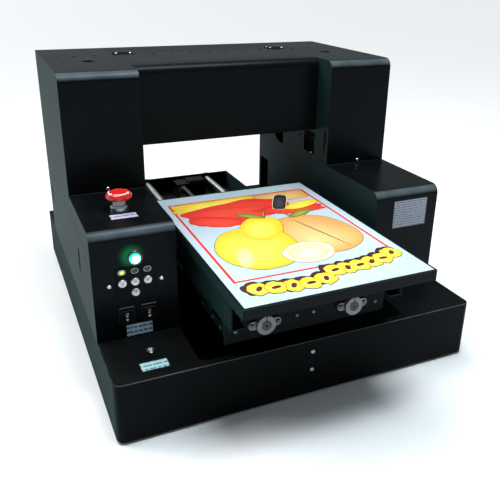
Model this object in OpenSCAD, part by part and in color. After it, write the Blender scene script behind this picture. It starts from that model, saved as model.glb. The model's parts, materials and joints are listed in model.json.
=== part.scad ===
// Flatbed printer: a table slides front to back on two shafts, and the frame that
// carries it lifts on four screws, under a fixed bridge that holds the print carriage.
// Bench coordinates: X from the left side, Y from the front of the base, Z from the
// bottom edge of the base. machine() moves them to the part's own frame.

/* [Housing] */
// Overall width
body_w = 620; // [612:1:640]
// Depth of the base
base_depth = 726; // [720:1:740]
// Height of the base
base_h = 98; // [96:1:98]
// Width of each side tower
tower_w = 130; // [130:1:132]
// Front face of the two low boxes
box_front = 118; // [112:1:120]
// Top of the two low boxes
box_top = 277; // [272:1:280]
// Front face of the towers
tower_front = 296; // [292:1:298]
// Rear face of the towers and the bridge
tower_back = 616; // [616:1:620]
// Height of the housing
top_h = 477; // [477:1:482]
// Front face of the bridge
bridge_front = 345; // [340:1:346]
// Underside of the bridge
bridge_bottom = 338.5; // [338.5:0.5:340]
// Sheet metal thickness
sheet_t = 1.5; // [1.2:0.1:1.6]
// Outside radius of the large sheet bends
bend_r = 16; // [12:1:18]
// Radius of the upright front corners of the base
base_corner_r = 12; // [8:1:16]
// Height of the feet below the base
foot_h = 4; // [3:1:8]

/* [Table] */
// Width of the print board
board_w = 300; // [290:1:302]
// Length of the print board
board_l = 427; // [420:1:430]
// Top face of the print board
board_top = 229.4; // [229:0.1:230]
// Distance from the base front to the front edge of the tray, outwards
tray_overhang = 83; // [80:1:86]
// Rim of the tray around the board
tray_rim = 4; // [3:0.5:5]
// Height of the tray skirt
tray_h = 16; // [14:1:17]

/* [Slide shafts] */
// Shaft diameter
shaft_d = 16; // [14:1:16]
// Distance between the two shafts
shaft_gap = 153; // [150:1:156]
// Height of the shafts
shaft_z = 137; // [136:0.5:138]

/* [Lift] */
// Lift screw diameter
lift_screw_d = 12; // [10:1:12]
// Distance of the lift screws from the outer sides
lift_screw_x = 100; // [98:1:102]
// Distance of the guide posts from the outer sides
lift_post_x = 70; // [66:1:72]

/* [Travel] */
// Backward travel of the table
table_travel = 515; // [400:5:515]
// Upward travel of the lift frame
lift_travel = 100; // [60:5:100]
// Sideways travel of the print carriage
carriage_travel = 470; // [300:5:470]

/* [Lid] */
// Distance of the lid from the outer sides
lid_inset = 28; // [24:1:32]
// Front edge of the lid
lid_front = 395; // [390:1:398]
// Hinge line of the lid
lid_hinge_y = 515; // [514:1:516]

/* [Hidden] */
$fn = 64;
mid_x = body_w / 2;
rear_trim = 1.5;
mid_y = (base_depth + rear_trim - tray_overhang) / 2;
right_in = body_w - tower_w;
gap = 0.3;
seam = 0.6;
bridge_x0 = tower_w + 0.1;
bridge_x1 = right_in - 0.1;
// table
board_t = 3.3;
plate_t = 3;
tray_w = board_w + 2 * tray_rim;
tray_l = board_l + 2 * tray_rim;
tray_y0 = -tray_overhang;
tray_top = board_top - 0.4;
tray_z0 = tray_top - tray_h;
deck_z = tray_top - board_t - plate_t - 1.5;
carrier_floor = shaft_z + 20;
carrier_x0 = 165;
carrier_y0 = -18;
carrier_y1 = 260;
block_w = 50;
block_l = 44;
block_h = 38.5;
// shafts and their frame
shaft_x = [mid_x - shaft_gap / 2, mid_x + shaft_gap / 2];
frame_x0 = 178;
frame_x1 = body_w - frame_x0;
frame_y0 = 20;
frame_y1 = 716;
frame_z0 = 112;
frame_top = 150;
frame_t = 3;
end_t = 4;
// bearing blocks: the rear pair stops short of the rear plate at full travel
block_rows = [30, frame_y1 - 61 - table_travel];
shaft_r = shaft_d / 2;
belt_x = 304;
belt_w = 8;
y_pulley_r = 9.4;
y_pulley_z = 135;
y_idler_y = 48;
y_motor_y = 668;
// lift
lift_bar_y = [335, 587];
lift_bar_w = 30;
lift_bar_h = 11;
lift_bar_z = frame_z0 - lift_bar_h;
lift_r = lift_screw_d / 2;
lift_xs = [lift_screw_x, body_w - lift_screw_x];
post_xs = [lift_post_x, body_w - lift_post_x];
slot_top = lift_bar_z + lift_bar_h + lift_travel + 2;
// print carriage, parked on the right; its left limit is 30 mm from the side
car_x0 = 30 + carriage_travel;
car_w = 88;
car_mid = car_x0 + car_w / 2;
car_y0 = 402;
car_y1 = 497;
head_z = 336;
beam_y0 = 525;
beam_y1 = 565;
beam_z0 = 375;
beam_z1 = 430;
rail_z0 = 395;
rail_z1 = 410;
x_belt_z = 453;
x_belt_y0 = 512;
x_pulley_r = 7.4;
x_motor_x = 45;
x_idler_x = 578;
// control box front: columns and rows
pad_x = 64;
power_z = 230.7;
led_z = 210.3;
key_z = 192.5;
key_low_z = 174.8;
key_pitch = 19.4;
key_r = 6.4;
switch_x = [48, 82.6];
switch_z = 137;
switch_w = 25.6;
switch_h = 31;
shelf_switch = [69.2, 64];
estop = [65, 205];
// side panel
panel_y0 = 160;
panel_y1 = 612;
panel_z0 = 101;
panel_z1 = 240;
finger_y = [236, 574];
finger_z = 188;
// well between the shelves
well_y0 = 13.5;
well_y1 = 600;
well_z0 = 14;
well_r = 13;
// lid hinges and holes
hinge_x = [151, 476];
hinge_w = 36;
knuckle_in = 5;
hinge_z = top_h + 2.4;
vent_count = 14;
vent_x = 56.4;
vent_pitch = 37.7;
vent_r = 5;
vent_y = 498;
finger_hole = [71, 427];
fan_x = 555;
fan_z = 292;
inlet_x = 75;
inlet_z = 46;

// ---------- helpers ----------

module machine() translate([-mid_x, -mid_y, foot_h]) children();

// box from its two corners
module slab(x0, x1, y0, y1, z0, z1)
    translate([x0, y0, z0]) cube([x1 - x0, y1 - y0, z1 - z0]);

// extrudes a profile drawn in (y, z) along X
module along_x(x0, x1)
    translate([x0, 0, 0]) rotate([90, 0, 90]) linear_extrude(x1 - x0) children();

// extrudes a profile drawn in (x, z) along Y
module along_y(y0, y1)
    translate([0, y1, 0]) rotate([90, 0, 0]) linear_extrude(y1 - y0) children();

// extrudes a profile drawn in (x, y) along Z
module along_z(z0, z1)
    translate([0, 0, z0]) linear_extrude(z1 - z0) children();

module post(x, y, z0, z1, r) translate([x, y, z0]) cylinder(h = z1 - z0, r = r);

module bar_y(x, z, y0, y1, r) translate([x, y1, z]) rotate([90, 0, 0]) cylinder(h = y1 - y0, r = r);

module bar_x(y, z, x0, x1, r) translate([x0, y, z]) rotate([0, 90, 0]) cylinder(h = x1 - x0, r = r);

// copies a left-hand piece to the right-hand side
module mirrored() translate([body_w, 0, 0]) mirror([1, 0, 0]) children();

module both_sides() {
    children();
    mirrored() children();
}

// rectangle with round corners
module round_rect(w, h, r) {
    translate([-w / 2 + r, -h / 2]) square([w - 2 * r, h]);
    translate([-w / 2, -h / 2 + r]) square([w, h - 2 * r]);
    for (x = [-1, 1], y = [-1, 1])
        translate([x * (w / 2 - r), y * (h / 2 - r)]) circle(r);
}

// block profile whose front top corner is a bend
module bent_block(y0, y1, z0, z1, r) {
    translate([y0 + r, z0]) square([y1 - y0 - r, z1 - z0]);
    translate([y0, z0]) square([r + 1, z1 - z0 - r]);
    translate([y0 + r, z1 - r]) circle(r);
}

// socket button head that points along +Z
module button_head(r, h) {
    difference() {
        rotate_extrude() polygon([[0, 0], [r, 0], [r, h * 0.45], [r * 0.72, h], [0, h]]);
        translate([0, 0, h * 0.4]) cylinder(h = h, r = r * 0.42, $fn = 6);
    }
}

// button head on a face that looks to the front
module front_head(x, y, z, r, h) translate([x, y, z]) rotate([90, 0, 0]) button_head(r, h);

// belt loop around two pulleys, drawn flat from [0, 0] to [l, 0]
module belt_loop(l, r, t) {
    difference() {
        union() {
            circle(r + t);
            translate([l, 0]) circle(r + t);
            translate([0, -r - t]) square([l, 2 * (r + t)]);
        }
        circle(r);
        translate([l, 0]) circle(r);
        translate([0, -r]) square([l, 2 * r]);
    }
}

// stepper motor whose shaft points along +Z
module motor(size, length, shaft_r, shaft_l) {
    difference() {
        union() {
            translate([-size / 2, -size / 2, 0]) cube([size, size, length]);
            cylinder(h = length + 2, r = size * 0.26);
            cylinder(h = length + shaft_l, r = shaft_r);
        }
        for (a = [45:90:315])
            rotate([0, 0, a]) translate([size * 0.7, 0, -1]) cube([8, 20, 2 * length + 4], center = true);
    }
}

// toothed pulley with two flanges that points along +Z
module pulley(r, w, bore) {
    teeth = 16;
    difference() {
        union() {
            cylinder(h = w, r = r);
            cylinder(h = 1, r = r + 1.6);
            translate([0, 0, w - 1]) cylinder(h = 1, r = r + 1.6);
        }
        translate([0, 0, -1]) cylinder(h = w + 2, r = bore);
        for (i = [0:teeth - 1])
            rotate([0, 0, i * 360 / teeth]) translate([r, 0, 1])
                translate([-0.5, -0.6, 0]) cube([1.2, 1.2, w - 2]);
    }
}

// ---------- base ----------

module base_outline(i) {
    r = base_corner_r - i;
    translate([i, i + r]) square([body_w - 2 * i, base_depth - 2 * i - r]);
    translate([i + r, i]) square([body_w - 2 * (i + r), r + 1]);
    translate([i + r, i + r]) circle(r);
    translate([body_w - i - r, i + r]) circle(r);
}

module well_outline(g) {
    translate([mid_x, (well_y0 + well_y1) / 2])
        round_rect(right_in - tower_w + 2 * g, well_y1 - well_y0 + 2 * g, well_r + g);
}

module base_shell() color("#1d2226") machine() difference() {
    along_z(0, base_h) base_outline(0);
    along_z(-1, base_h - sheet_t) base_outline(sheet_t);
    along_z(base_h - 4, base_h + 1) well_outline(0);
    translate([shelf_switch[0], shelf_switch[1], base_h]) cube([17, 21, 10], center = true);
    for (x = lift_xs, y = lift_bar_y) post(x, y, base_h - 5, base_h + 1, 8);
    slab(inlet_x - 16, inlet_x + 16, base_depth - 3, base_depth + 1, inlet_z - 11.5, inlet_z + 11.5);
    slab(inlet_x + 40, inlet_x + 55, base_depth - 3, base_depth + 1, inlet_z - 7, inlet_z + 7);
    for (i = [0:7]) slab(560 - i * 12, 566 - i * 12, base_depth - 3, base_depth + 1, 24, 70);
}

module floor_plate() color("#24282b") machine() difference() {
    along_z(0.4, 2) base_outline(sheet_t + gap);
    for (x = [30, 590], y = [40, 690]) post(x, y, -1, 3, 3);
    for (i = [0:9]) slab(40, 90, 200 + i * 14, 206 + i * 14, -1, 3);
    for (i = [0:9]) slab(530, 580, 200 + i * 14, 206 + i * 14, -1, 3);
}

module foot() rotate_extrude() polygon([[0, 0], [15, 0], [17, 2], [18, foot_h + 0.4], [0, foot_h + 0.4]]);

module feet() color("#161616") machine()
    for (x = [40, 580], y = [50, 680]) translate([x, y, -foot_h]) foot();

module well_liner() color("#15181a") machine() difference() {
    along_z(well_z0 - sheet_t, base_h - sheet_t - 0.1) well_outline(sheet_t);
    along_z(well_z0, base_h) well_outline(0);
}

// ---------- towers and bridge ----------

module tower_outline(i, z0) {
    bent_block(box_front + i, tower_back - i, z0, box_top - i, bend_r - i);
    bent_block(tower_front + i, tower_back - i, z0, top_h - i, bend_r - i);
}

module lid_area(i) {
    w = body_w - 2 * lid_inset - 2 * i;
    translate([lid_inset + i + 14, lid_front + i]) square([w - 28, 30]);
    translate([lid_inset + i, lid_front + i + 14]) square([w, lid_hinge_y - lid_front - 14 - 2 * i]);
    for (x = [lid_inset + i + 14, body_w - lid_inset - i - 14]) translate([x, lid_front + i + 14]) circle(14);
}

module side_area(i) translate([(panel_y0 + panel_y1) / 2, (panel_z0 + panel_z1) / 2])
    round_rect(panel_y1 - panel_y0 - 2 * i, panel_z1 - panel_z0 - 2 * i, 8 - i);

// holes in the wall that faces the table
module tunnel_wall_holes() {
    for (y = lift_bar_y) slab(tower_w - 3, tower_w + 1, y - 21, y + 21, base_h - 1, slot_top);
    slab(tower_w - 3, tower_w + 1, bridge_front + 3, tower_back - 4, bridge_bottom + 2, top_h - 4);
    slab(tower_w - 3, tower_w + 1, car_y0 - 5, car_y1 + 12, head_z - 3, bridge_bottom + 4);
    slab(tower_w - 3, tower_w + 1, 348, 392, 286, 330);
    along_x(tower_w - 3, tower_w + 1)
        polygon([[490, 330], [490, 274], [504, 272], [523, 279], [537, 288], [537, 330]]);
    for (z = [312, 324]) bar_x(413, z, tower_w - 3, tower_w + 1, 2.6);
    slab(tower_w - 3, tower_w + 1, 303, 312, 300, 342);
}

module tower_shell() difference() {
    along_x(0, tower_w) tower_outline(0, base_h);
    along_x(sheet_t, tower_w - sheet_t) tower_outline(sheet_t, base_h - 5);
    along_z(top_h - 4, top_h + 1) lid_area(0);
    along_x(-1, sheet_t + 1) side_area(0);
    tunnel_wall_holes();
}

module control_cutouts() {
    bar_y(pad_x + 1.5, power_z, box_front - 1, box_front + 3, 9.6);
    slab(pad_x - 29, pad_x + 31, box_front - 1, box_front + 3, key_low_z - 8, led_z + 8);
    for (x = switch_x) slab(x - 11.2, x + 11.2, box_front - 1, box_front + 3, switch_z - 14, switch_z + 14);
    post(estop[0], estop[1], box_top - 5, box_top + 1, 11.2);
}

module left_tower() color("#1b2025") machine() difference() {
    tower_shell();
    control_cutouts();
    for (i = [0:6]) slab(30 + i * 11, 35 + i * 11, tower_back - 3, tower_back + 1, 350, 430);
}

module right_tower() color("#1b2025") machine() difference() {
    mirrored() tower_shell();
    bar_y(fan_x, fan_z, tower_back - 3, tower_back + 1, 28);
    for (i = [0:6]) slab(520 + i * 11, 525 + i * 11, tower_back - 3, tower_back + 1, 350, 430);
}

module bridge_cover() color("#1b2025") machine() difference() {
    along_x(bridge_x0, bridge_x1) bent_block(bridge_front, tower_back, bridge_bottom, top_h, bend_r);
    along_x(bridge_x0 - 1, bridge_x1 + 1)
        bent_block(bridge_front + sheet_t, tower_back - sheet_t, bridge_bottom + sheet_t,
            top_h - sheet_t, bend_r - sheet_t);
    slab(bridge_x0 - 1, bridge_x1 + 1, car_y0 - 4, car_y1 + 11, bridge_bottom - 1, bridge_bottom + 3);
    along_z(top_h - 4, top_h + 1) lid_area(0);
    for (i = [0:13]) slab(180 + i * 19, 190 + i * 19, tower_back - 3, tower_back + 1, 380, 440);
}

// ---------- lid ----------

module top_lid() color("#20262a") machine() difference() {
    union() {
        along_z(top_h - sheet_t, top_h) lid_area(seam);
        slab(lid_inset + 20, body_w - lid_inset - 20, lid_front + 6, lid_front + 7.5, top_h - 9, top_h - 1);
        slab(lid_inset + 8, body_w - lid_inset - 8, lid_hinge_y - 9, lid_hinge_y - 7.5, top_h - 9, top_h - 1);
    }
    for (i = [0:vent_count - 1])
        post(vent_x + i * vent_pitch, vent_y, top_h - 4, top_h + 1, vent_r);
    for (x = [finger_hole[0], body_w - finger_hole[0]]) post(x, finger_hole[1], top_h - 4, top_h + 1, 11);
}

module hinge_screws(x, y) for (s = [-1, 1]) translate([x + s * 13.5, y, top_h + 1.2]) button_head(2.6, 1.2);

module lid_hinge_fixed() color("#c9ccd0") machine() for (x = hinge_x) {
    difference() {
        union() {
            slab(x - hinge_w / 2, x + hinge_w / 2, lid_hinge_y + 2.7, lid_hinge_y + 15, top_h, top_h + 1.2);
            slab(x - hinge_w / 2, x + hinge_w / 2, lid_hinge_y, lid_hinge_y + 5, top_h + 0.3, top_h + 1.5);
            bar_x(lid_hinge_y, hinge_z, x - hinge_w / 2, x + hinge_w / 2, 2.1);
        }
        slab(x - knuckle_in, x + knuckle_in, lid_hinge_y - 3, lid_hinge_y + 2.7, top_h - 1, top_h + 6);
    }
    bar_x(lid_hinge_y, hinge_z, x - knuckle_in - 0.5, x + knuckle_in + 0.5, 1);
    hinge_screws(x, lid_hinge_y + 9.5);
}

module lid_hinge_moving() color("#c9ccd0") machine() for (x = hinge_x) {
    difference() {
        union() {
            slab(x - hinge_w / 2, x + hinge_w / 2, lid_hinge_y - 11, lid_hinge_y - 2.7, top_h, top_h + 1.2);
            slab(x - knuckle_in + 0.3, x + knuckle_in - 0.3, lid_hinge_y - 5, lid_hinge_y,
                top_h + 0.3, top_h + 1.5);
            bar_x(lid_hinge_y, hinge_z, x - knuckle_in + 0.3, x + knuckle_in - 0.3, 2.1);
        }
        bar_x(lid_hinge_y, hinge_z, x - 6, x + 6, 1.05);
    }
    hinge_screws(x, lid_hinge_y - 7);
}

// ---------- side panels ----------

module side_panel() difference() {
    union() {
        along_x(0, sheet_t) side_area(seam);
        slab(sheet_t - 0.5, 9, panel_y0 + 12, panel_y1 - 12, panel_z0 + 3, panel_z0 + 4.5);
        slab(sheet_t - 0.5, 9, panel_y0 + 12, panel_y1 - 12, panel_z1 - 4.5, panel_z1 - 3);
    }
    for (y = finger_y)
        along_x(-1, 3) translate([y, finger_z]) round_rect(13, 40, 6);
}

module left_panel() color("#1d2226") machine() side_panel();

module right_panel() color("#1d2226") machine() mirrored() side_panel();

// ---------- controls ----------

module key_panel() color("#101214") machine() difference() {
    along_y(box_front - 0.8, box_front + 1.2) translate([pad_x + 1, (key_low_z + led_z) / 2])
        round_rect(59.4, led_z - key_low_z + 15.4, 2);
    for (i = [-1:1]) bar_y(pad_x + i * key_pitch, key_z, box_front - 2, box_front + 2, key_r + 0.5);
    bar_y(pad_x, key_low_z, box_front - 2, box_front + 2, key_r + 0.5);
    for (i = [-1:1]) along_y(box_front - 2, box_front + 2) translate([pad_x + i * key_pitch, led_z])
        scale([1, 1]) round_rect(8.6, 6.2, 3);
}

module power_bezel() translate([pad_x + 1.5, box_front, power_z])
    rotate([90, 0, 0]) difference() {
        union() {
            rotate_extrude() polygon([[0, 0], [12.4, 0], [12.4, 1], [11.6, 2], [0, 2]]);
            translate([0, 0, -22]) cylinder(h = 22, r = 9.4);
        }
        translate([0, 0, -14]) cylinder(h = 20, r = 8.9);
    }

module power_button() color("#22ff99") machine() translate([pad_x + 1.5, box_front, power_z])
    rotate([90, 0, 0]) rotate_extrude()
        polygon([[0, -10], [8.6, -10], [8.6, 3.2], [7.8, 4], [0, 4.4]]);

module status_lenses() color("#c4e86a") machine() for (i = [-1:1])
    along_y(box_front - 1.3, box_front + 2) translate([pad_x + i * key_pitch, led_z]) round_rect(8, 5.6, 2.7);

module key_cap(x, z) translate([x, box_front, z]) rotate([90, 0, 0]) rotate_extrude()
    polygon([[0, -5], [key_r, -5], [key_r, 2.2], [key_r - 0.8, 3], [0, 2.4]]);

module key_left() color("#cfd3d6") machine() key_cap(pad_x - key_pitch, key_z);

module key_middle() color("#cfd3d6") machine() key_cap(pad_x, key_z);

module key_right() color("#cfd3d6") machine() key_cap(pad_x + key_pitch, key_z);

module key_low() color("#cfd3d6") machine() key_cap(pad_x, key_low_z);

// switch body with a window, flange in front, drawn upright and facing +Z
module switch_body(w, h, deep) difference() {
    union() {
        linear_extrude(2) round_rect(w, h, 1.5);
        translate([0, 0, -deep]) linear_extrude(deep) round_rect(w - 4.6, h - 4.6, 1);
    }
    translate([0, 0, -deep + 2]) linear_extrude(deep + 2) square([w - 7, h - 7], center = true);
    pivot_pin(w - 5.1, pin_r + 0.2);
}

// round bar across a switch, centred on its pivot
module pivot_pin(l, r) translate([-l / 2, 0, 0]) rotate([0, 90, 0]) cylinder(h = l, r = r);

// rocker with two faces that meet at the pivot, tilted to its rest side
module rocker_key(w, h, tilt) {
    half = (h - 9.6) / 2;
    pivot_pin(w - 5.5, pin_r);
    rotate([tilt, 0, 0]) translate([-(w - 8) / 2, 0, 0]) rotate([90, 0, 90]) linear_extrude(w - 8)
        polygon([[-half, -2], [half, -2], [half - 0.4, 4.2], [0, 2.2], [-half + 0.4, 4.2]]);
}

rocker_tilt = 8;
pin_r = 1.3;

module switch_bezels() color("#0c0d0e") machine() {
    for (x = switch_x)
        translate([x, box_front, switch_z]) rotate([90, 0, 0]) switch_body(switch_w, switch_h, 16);
    translate([shelf_switch[0], shelf_switch[1], base_h]) switch_body(19.6, 24, 14);
}

module front_rocker(x) translate([x, box_front, switch_z]) rotate([90, 0, 0])
    rocker_key(switch_w, switch_h, rocker_tilt);

module front_rocker_left() color("#17191b") machine() front_rocker(switch_x[0]);

module front_rocker_right() color("#17191b") machine() front_rocker(switch_x[1]);

module shelf_rocker() color("#17191b") machine() translate([shelf_switch[0], shelf_switch[1], base_h])
    rocker_key(19.6, 24, rocker_tilt);

module estop_collar() translate([estop[0], estop[1], box_top]) difference() {
    union() {
        rotate_extrude() polygon([[0, 0], [14.5, 0], [14.5, 6], [13.4, 9], [0, 9]]);
        translate([0, 0, -26]) cylinder(h = 26, r = 11);
    }
    translate([0, 0, -20]) cylinder(h = 40, r = 10.1);
}

module button_bezels() color("#c8c8c4") machine() {
    power_bezel();
    estop_collar();
}

module estop_stem() color("#7d8184") machine() translate([estop[0], estop[1], box_top]) difference() {
    union() {
        translate([0, 0, -14]) cylinder(h = 32, r = 10);
        translate([0, 0, 18]) cylinder(h = 4, r = 6);
    }
    translate([0, 0, -15]) cylinder(h = 10, r = 7);
}

module estop_head() color("#d7311f") machine() translate([estop[0], estop[1], box_top]) difference() {
    rotate_extrude()
        polygon([[0, 18.2], [14, 18.2], [19, 19.4], [20.5, 22], [20.5, 24.5], [18.6, 28], [13.5, 30.2],
            [11.5, 29.6], [8, 28.8], [0, 28.6]]);
    translate([0, 0, 17]) cylinder(h = 5.3, r = 6.05);
}

module housing_screws() color("#c9ccd0") machine() {
    for (z = [44.8, 77.7]) front_head(mid_x, 0, z, 3.4, 2);
    for (x = [24.9, 104.6]) front_head(x, box_front, 190.5, 3.1, 1.8);
    for (x = [65.3, 560]) front_head(x, tower_front, 282, 3.4, 2);
}

// ---------- table ----------

module tray_outline(i) translate([mid_x, tray_y0 + tray_l / 2])
    round_rect(tray_w - 2 * i, tray_l - 2 * i, 3 - i);

module tray() color("#14171a") machine() difference() {
    along_z(tray_z0, tray_top) tray_outline(0);
    along_z(tray_z0 - 1, deck_z) tray_outline(2);
    translate([mid_x - board_w / 2 - gap, tray_y0 + tray_rim - gap, tray_top - board_t - plate_t + 0.4])
        cube([board_w + 2 * gap, board_l + 2 * gap, 20]);
}

module table_plate() color("#b5b9bc") machine()
    translate([mid_x - board_w / 2, tray_y0 + tray_rim, board_top - board_t - plate_t])
        cube([board_w, board_l, plate_t]);

module print_board() color("#eef1f6") machine()
    translate([mid_x - board_w / 2, tray_y0 + tray_rim, board_top - board_t])
        cube([board_w, board_l, board_t]);

// folded channel that carries the tray on the bearing blocks
module table_carrier() color("#191c1f") machine() difference() {
    union() {
        slab(carrier_x0, body_w - carrier_x0, 25, 190, carrier_floor, carrier_floor + 3);
        both_sides() along_y(carrier_y0, carrier_y1) union() {
            translate([carrier_x0, carrier_floor]) square([2.5, deck_z - carrier_floor]);
            translate([carrier_x0, deck_z - 2.5]) square([26, 2.5]);
            translate([carrier_x0, carrier_floor]) square([22, 3]);
        }
    }
    for (y = [210, 235]) both_sides() bar_x(y, 186, carrier_x0 - 1, carrier_x0 + 4, 6);
}

module bearing_blocks() color("#9ea3a6") machine() for (x = shaft_x, y = block_rows) difference() {
    slab(x - block_w / 2, x + block_w / 2, y, y + block_l, carrier_floor - block_h, carrier_floor);
    bar_y(x, shaft_z, y - 1, y + block_l + 1, shaft_r + 0.05);
    for (s = [-1, 1]) translate([x + s * block_w / 2, y + block_l / 2, carrier_floor - 8])
        cube([10, block_l + 2, 12], center = true);
}

module belt_clamp() slab(belt_x - 12, belt_x + 12, 95, 119, y_pulley_z + y_pulley_r + 2.2, carrier_floor);

module carrier_screws() color("#c9ccd0") machine() {
    belt_clamp();
    for (x = shaft_x, s = [-1, 1], y = block_rows) for (d = [10, 34])
        translate([x + s * 17, y + d, carrier_floor + 3]) button_head(3.4, 2);
    both_sides() for (p = [[0, 186], [2, 171], [245, 171], [245, 200]])
        translate([carrier_x0, p[0], p[1]]) rotate([0, -90, 0]) button_head(3.2, 1.8);
}

// ---------- shaft frame ----------

module shaft_frame() color("#121416") machine() difference() {
    union() {
        slab(frame_x0, frame_x1, frame_y0, frame_y1, frame_z0, frame_z0 + 2);
        both_sides() slab(frame_x0, frame_x0 + frame_t, frame_y0, frame_y1, frame_z0, frame_top);
        slab(170, body_w - 170, frame_y0, frame_y0 + end_t, frame_z0, frame_top);
        slab(frame_x0, frame_x1, frame_y1 - end_t, frame_y1, frame_z0, frame_top);
    }
    for (x = shaft_x) bar_y(x, shaft_z, frame_y0 - 1, frame_y1 + 1, shaft_r + 0.4);
    both_sides() for (y = [80:95:560]) translate([frame_x0 - 1, y, 134]) rotate([90, 0, 90])
        linear_extrude(frame_t + 2) round_rect(46, 12, 5.9);
    slab(belt_x + 15, belt_x + 59, y_motor_y - 21, y_motor_y + 21, frame_z0 - 1, frame_z0 + 3);
}

module slide_shafts() color("#d4d7da") machine() for (x = shaft_x) difference() {
    bar_y(x, shaft_z, frame_y0 - 12, frame_y1 + 6, shaft_r);
    for (y = [frame_y0 - 13, frame_y1 + 4]) bar_y(x, shaft_z, y, y + 3, 2);
}

// two-bolt flange around a shaft end, bolted to the frame's end plate
module flange_support(x) translate([x, 0, shaft_z]) rotate([90, 0, 0]) difference() {
    union() {
        cylinder(h = 11, r = 15.5);
        linear_extrude(5) round_rect(54, 14, 6.9);
    }
    translate([0, 0, -1]) cylinder(h = 20, r = shaft_r);
    translate([-0.8, 0, 4]) cube([1.6, 20, 20]);
}

module flange_bolts(x) translate([x, -5, shaft_z]) rotate([90, 0, 0])
    for (s = [-1, 1]) translate([s * 21.5, 0, 0]) button_head(4, 3);

module shaft_supports() color("#b9bdc0") machine() {
    for (x = shaft_x) {
        translate([0, frame_y0, 0]) flange_support(x);
        translate([0, frame_y0, 0]) flange_bolts(x);
        translate([0, frame_y1, 0]) mirror([0, 1, 0]) translate([0, 0, 0]) rear_flange(x);
    }
    for (x = [belt_x - 14.5, belt_x + 14.5]) front_head(x, frame_y0, 137, 3, 2);
    front_head(187, frame_y0, 131, 3, 2);
    front_head(433, frame_y0, 131, 3, 2);
    both_sides() for (y = [58, 92, 141])
        translate([frame_x0, y, 119]) rotate([0, -90, 0]) button_head(3, 1.8);
}

module rear_flange(x) translate([x, 0, shaft_z]) rotate([90, 0, 0]) difference() {
    linear_extrude(5) union() {
        circle(13);
        round_rect(54, 14, 6.9);
    }
    translate([0, 0, -1]) cylinder(h = 20, r = shaft_r);
}

module table_belt() color("#1a1a1a") machine()
    translate([belt_x - belt_w / 2, y_idler_y, y_pulley_z]) rotate([90, 0, 90])
        linear_extrude(belt_w) belt_loop(y_motor_y - y_idler_y, y_pulley_r + 0.3, 1.4);

module table_motor() color("#8b9093") machine() {
    translate([belt_x + 57, y_motor_y, y_pulley_z]) rotate([0, -90, 0]) motor(40, 40, 2.5, 22);
    difference() {
        slab(belt_x - 12, belt_x + 16.5, y_motor_y - 19, y_motor_y + 19, frame_z0 + 2.2, frame_top);
        slab(belt_x - 9.5, belt_x + 13.5, y_motor_y - 20, y_motor_y + 20, frame_z0 + 1, frame_top - 2.5);
        bar_x(y_motor_y, y_pulley_z, belt_x - 14, belt_x + 18, 11.2);
    }
    slab(belt_x - 11, belt_x - 8, y_idler_y - 12, y_idler_y + 12, frame_z0 + 2.2, frame_top);
    slab(belt_x + 8, belt_x + 11, y_idler_y - 12, y_idler_y + 12, frame_z0 + 2.2, frame_top);
    bar_x(y_idler_y, y_pulley_z, belt_x - 8, belt_x + 8, 2.5);
}

module y_pulley(y) translate([belt_x - 6, y, y_pulley_z]) rotate([0, 90, 0]) pulley(y_pulley_r, 12, 2.55);

module table_motor_pulley() color("#d7dadc") machine() y_pulley(y_motor_y);

module table_idler_pulley() color("#d7dadc") machine() y_pulley(y_idler_y);

// ---------- lift ----------

module lift_bars() color("#2a2e31") machine() for (y = lift_bar_y) difference() {
    slab(52, body_w - 52, y - lift_bar_w / 2, y + lift_bar_w / 2, lift_bar_z, lift_bar_z + lift_bar_h);
    for (x = lift_xs) post(x, y, lift_bar_z - 1, lift_bar_z + lift_bar_h + 1, lift_r + 1);
    for (x = post_xs) post(x, y, lift_bar_z - 1, lift_bar_z + lift_bar_h + 1, 9);
}

module lift_nuts() color("#b08a3c") machine() for (y = lift_bar_y) {
    top = lift_bar_z + lift_bar_h;
    for (x = lift_xs) difference() {
        union() {
            post(x, y, top, top + 3, 14);
            post(x, y, top, top + 14, 10);
        }
        post(x, y, top - 1, top + 20, lift_r + 0.05);
    }
    for (x = post_xs) difference() {
        union() {
            post(x, y, lift_bar_z, top + 3, 8.95);
            post(x, y, top, top + 3, 13);
        }
        post(x, y, lift_bar_z - 1, top + 20, 6.05);
    }
}

module lift_posts() color("#d4d7da") machine() for (x = post_xs, y = lift_bar_y) {
    post(x, y, base_h, 232, 6);
    difference() {
        post(x, y, base_h, base_h + 2.5, 12);
        post(x, y, base_h - 1, base_h + 5, 6);
    }
}

// lift screw with its belt pulley
module lift_screw(x, y, z0) translate([x, y, 0]) {
    post(0, 0, z0, 226, lift_r);
    translate([0, 0, 58]) difference() {
        union() {
            cylinder(h = 12, r = 11);
            cylinder(h = 1.2, r = 13.5);
            translate([0, 0, 10.8]) cylinder(h = 1.2, r = 13.5);
        }
        translate([0, 0, -1]) cylinder(h = 20, r = lift_r);
        translate([9.2, -1, 1.4]) cube([3, 2, 9]);
    }
}

module lift_screw_front_left() color("#c3c7ca") machine() lift_screw(lift_xs[0], lift_bar_y[0], 47.5);

module lift_screw_front_right() color("#c3c7ca") machine() lift_screw(lift_xs[1], lift_bar_y[0], 47.5);

module lift_screw_rear_left() color("#c3c7ca") machine() lift_screw(lift_xs[0], lift_bar_y[1], 30);

module lift_screw_rear_right() color("#c3c7ca") machine() lift_screw(lift_xs[1], lift_bar_y[1], 30);

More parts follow.
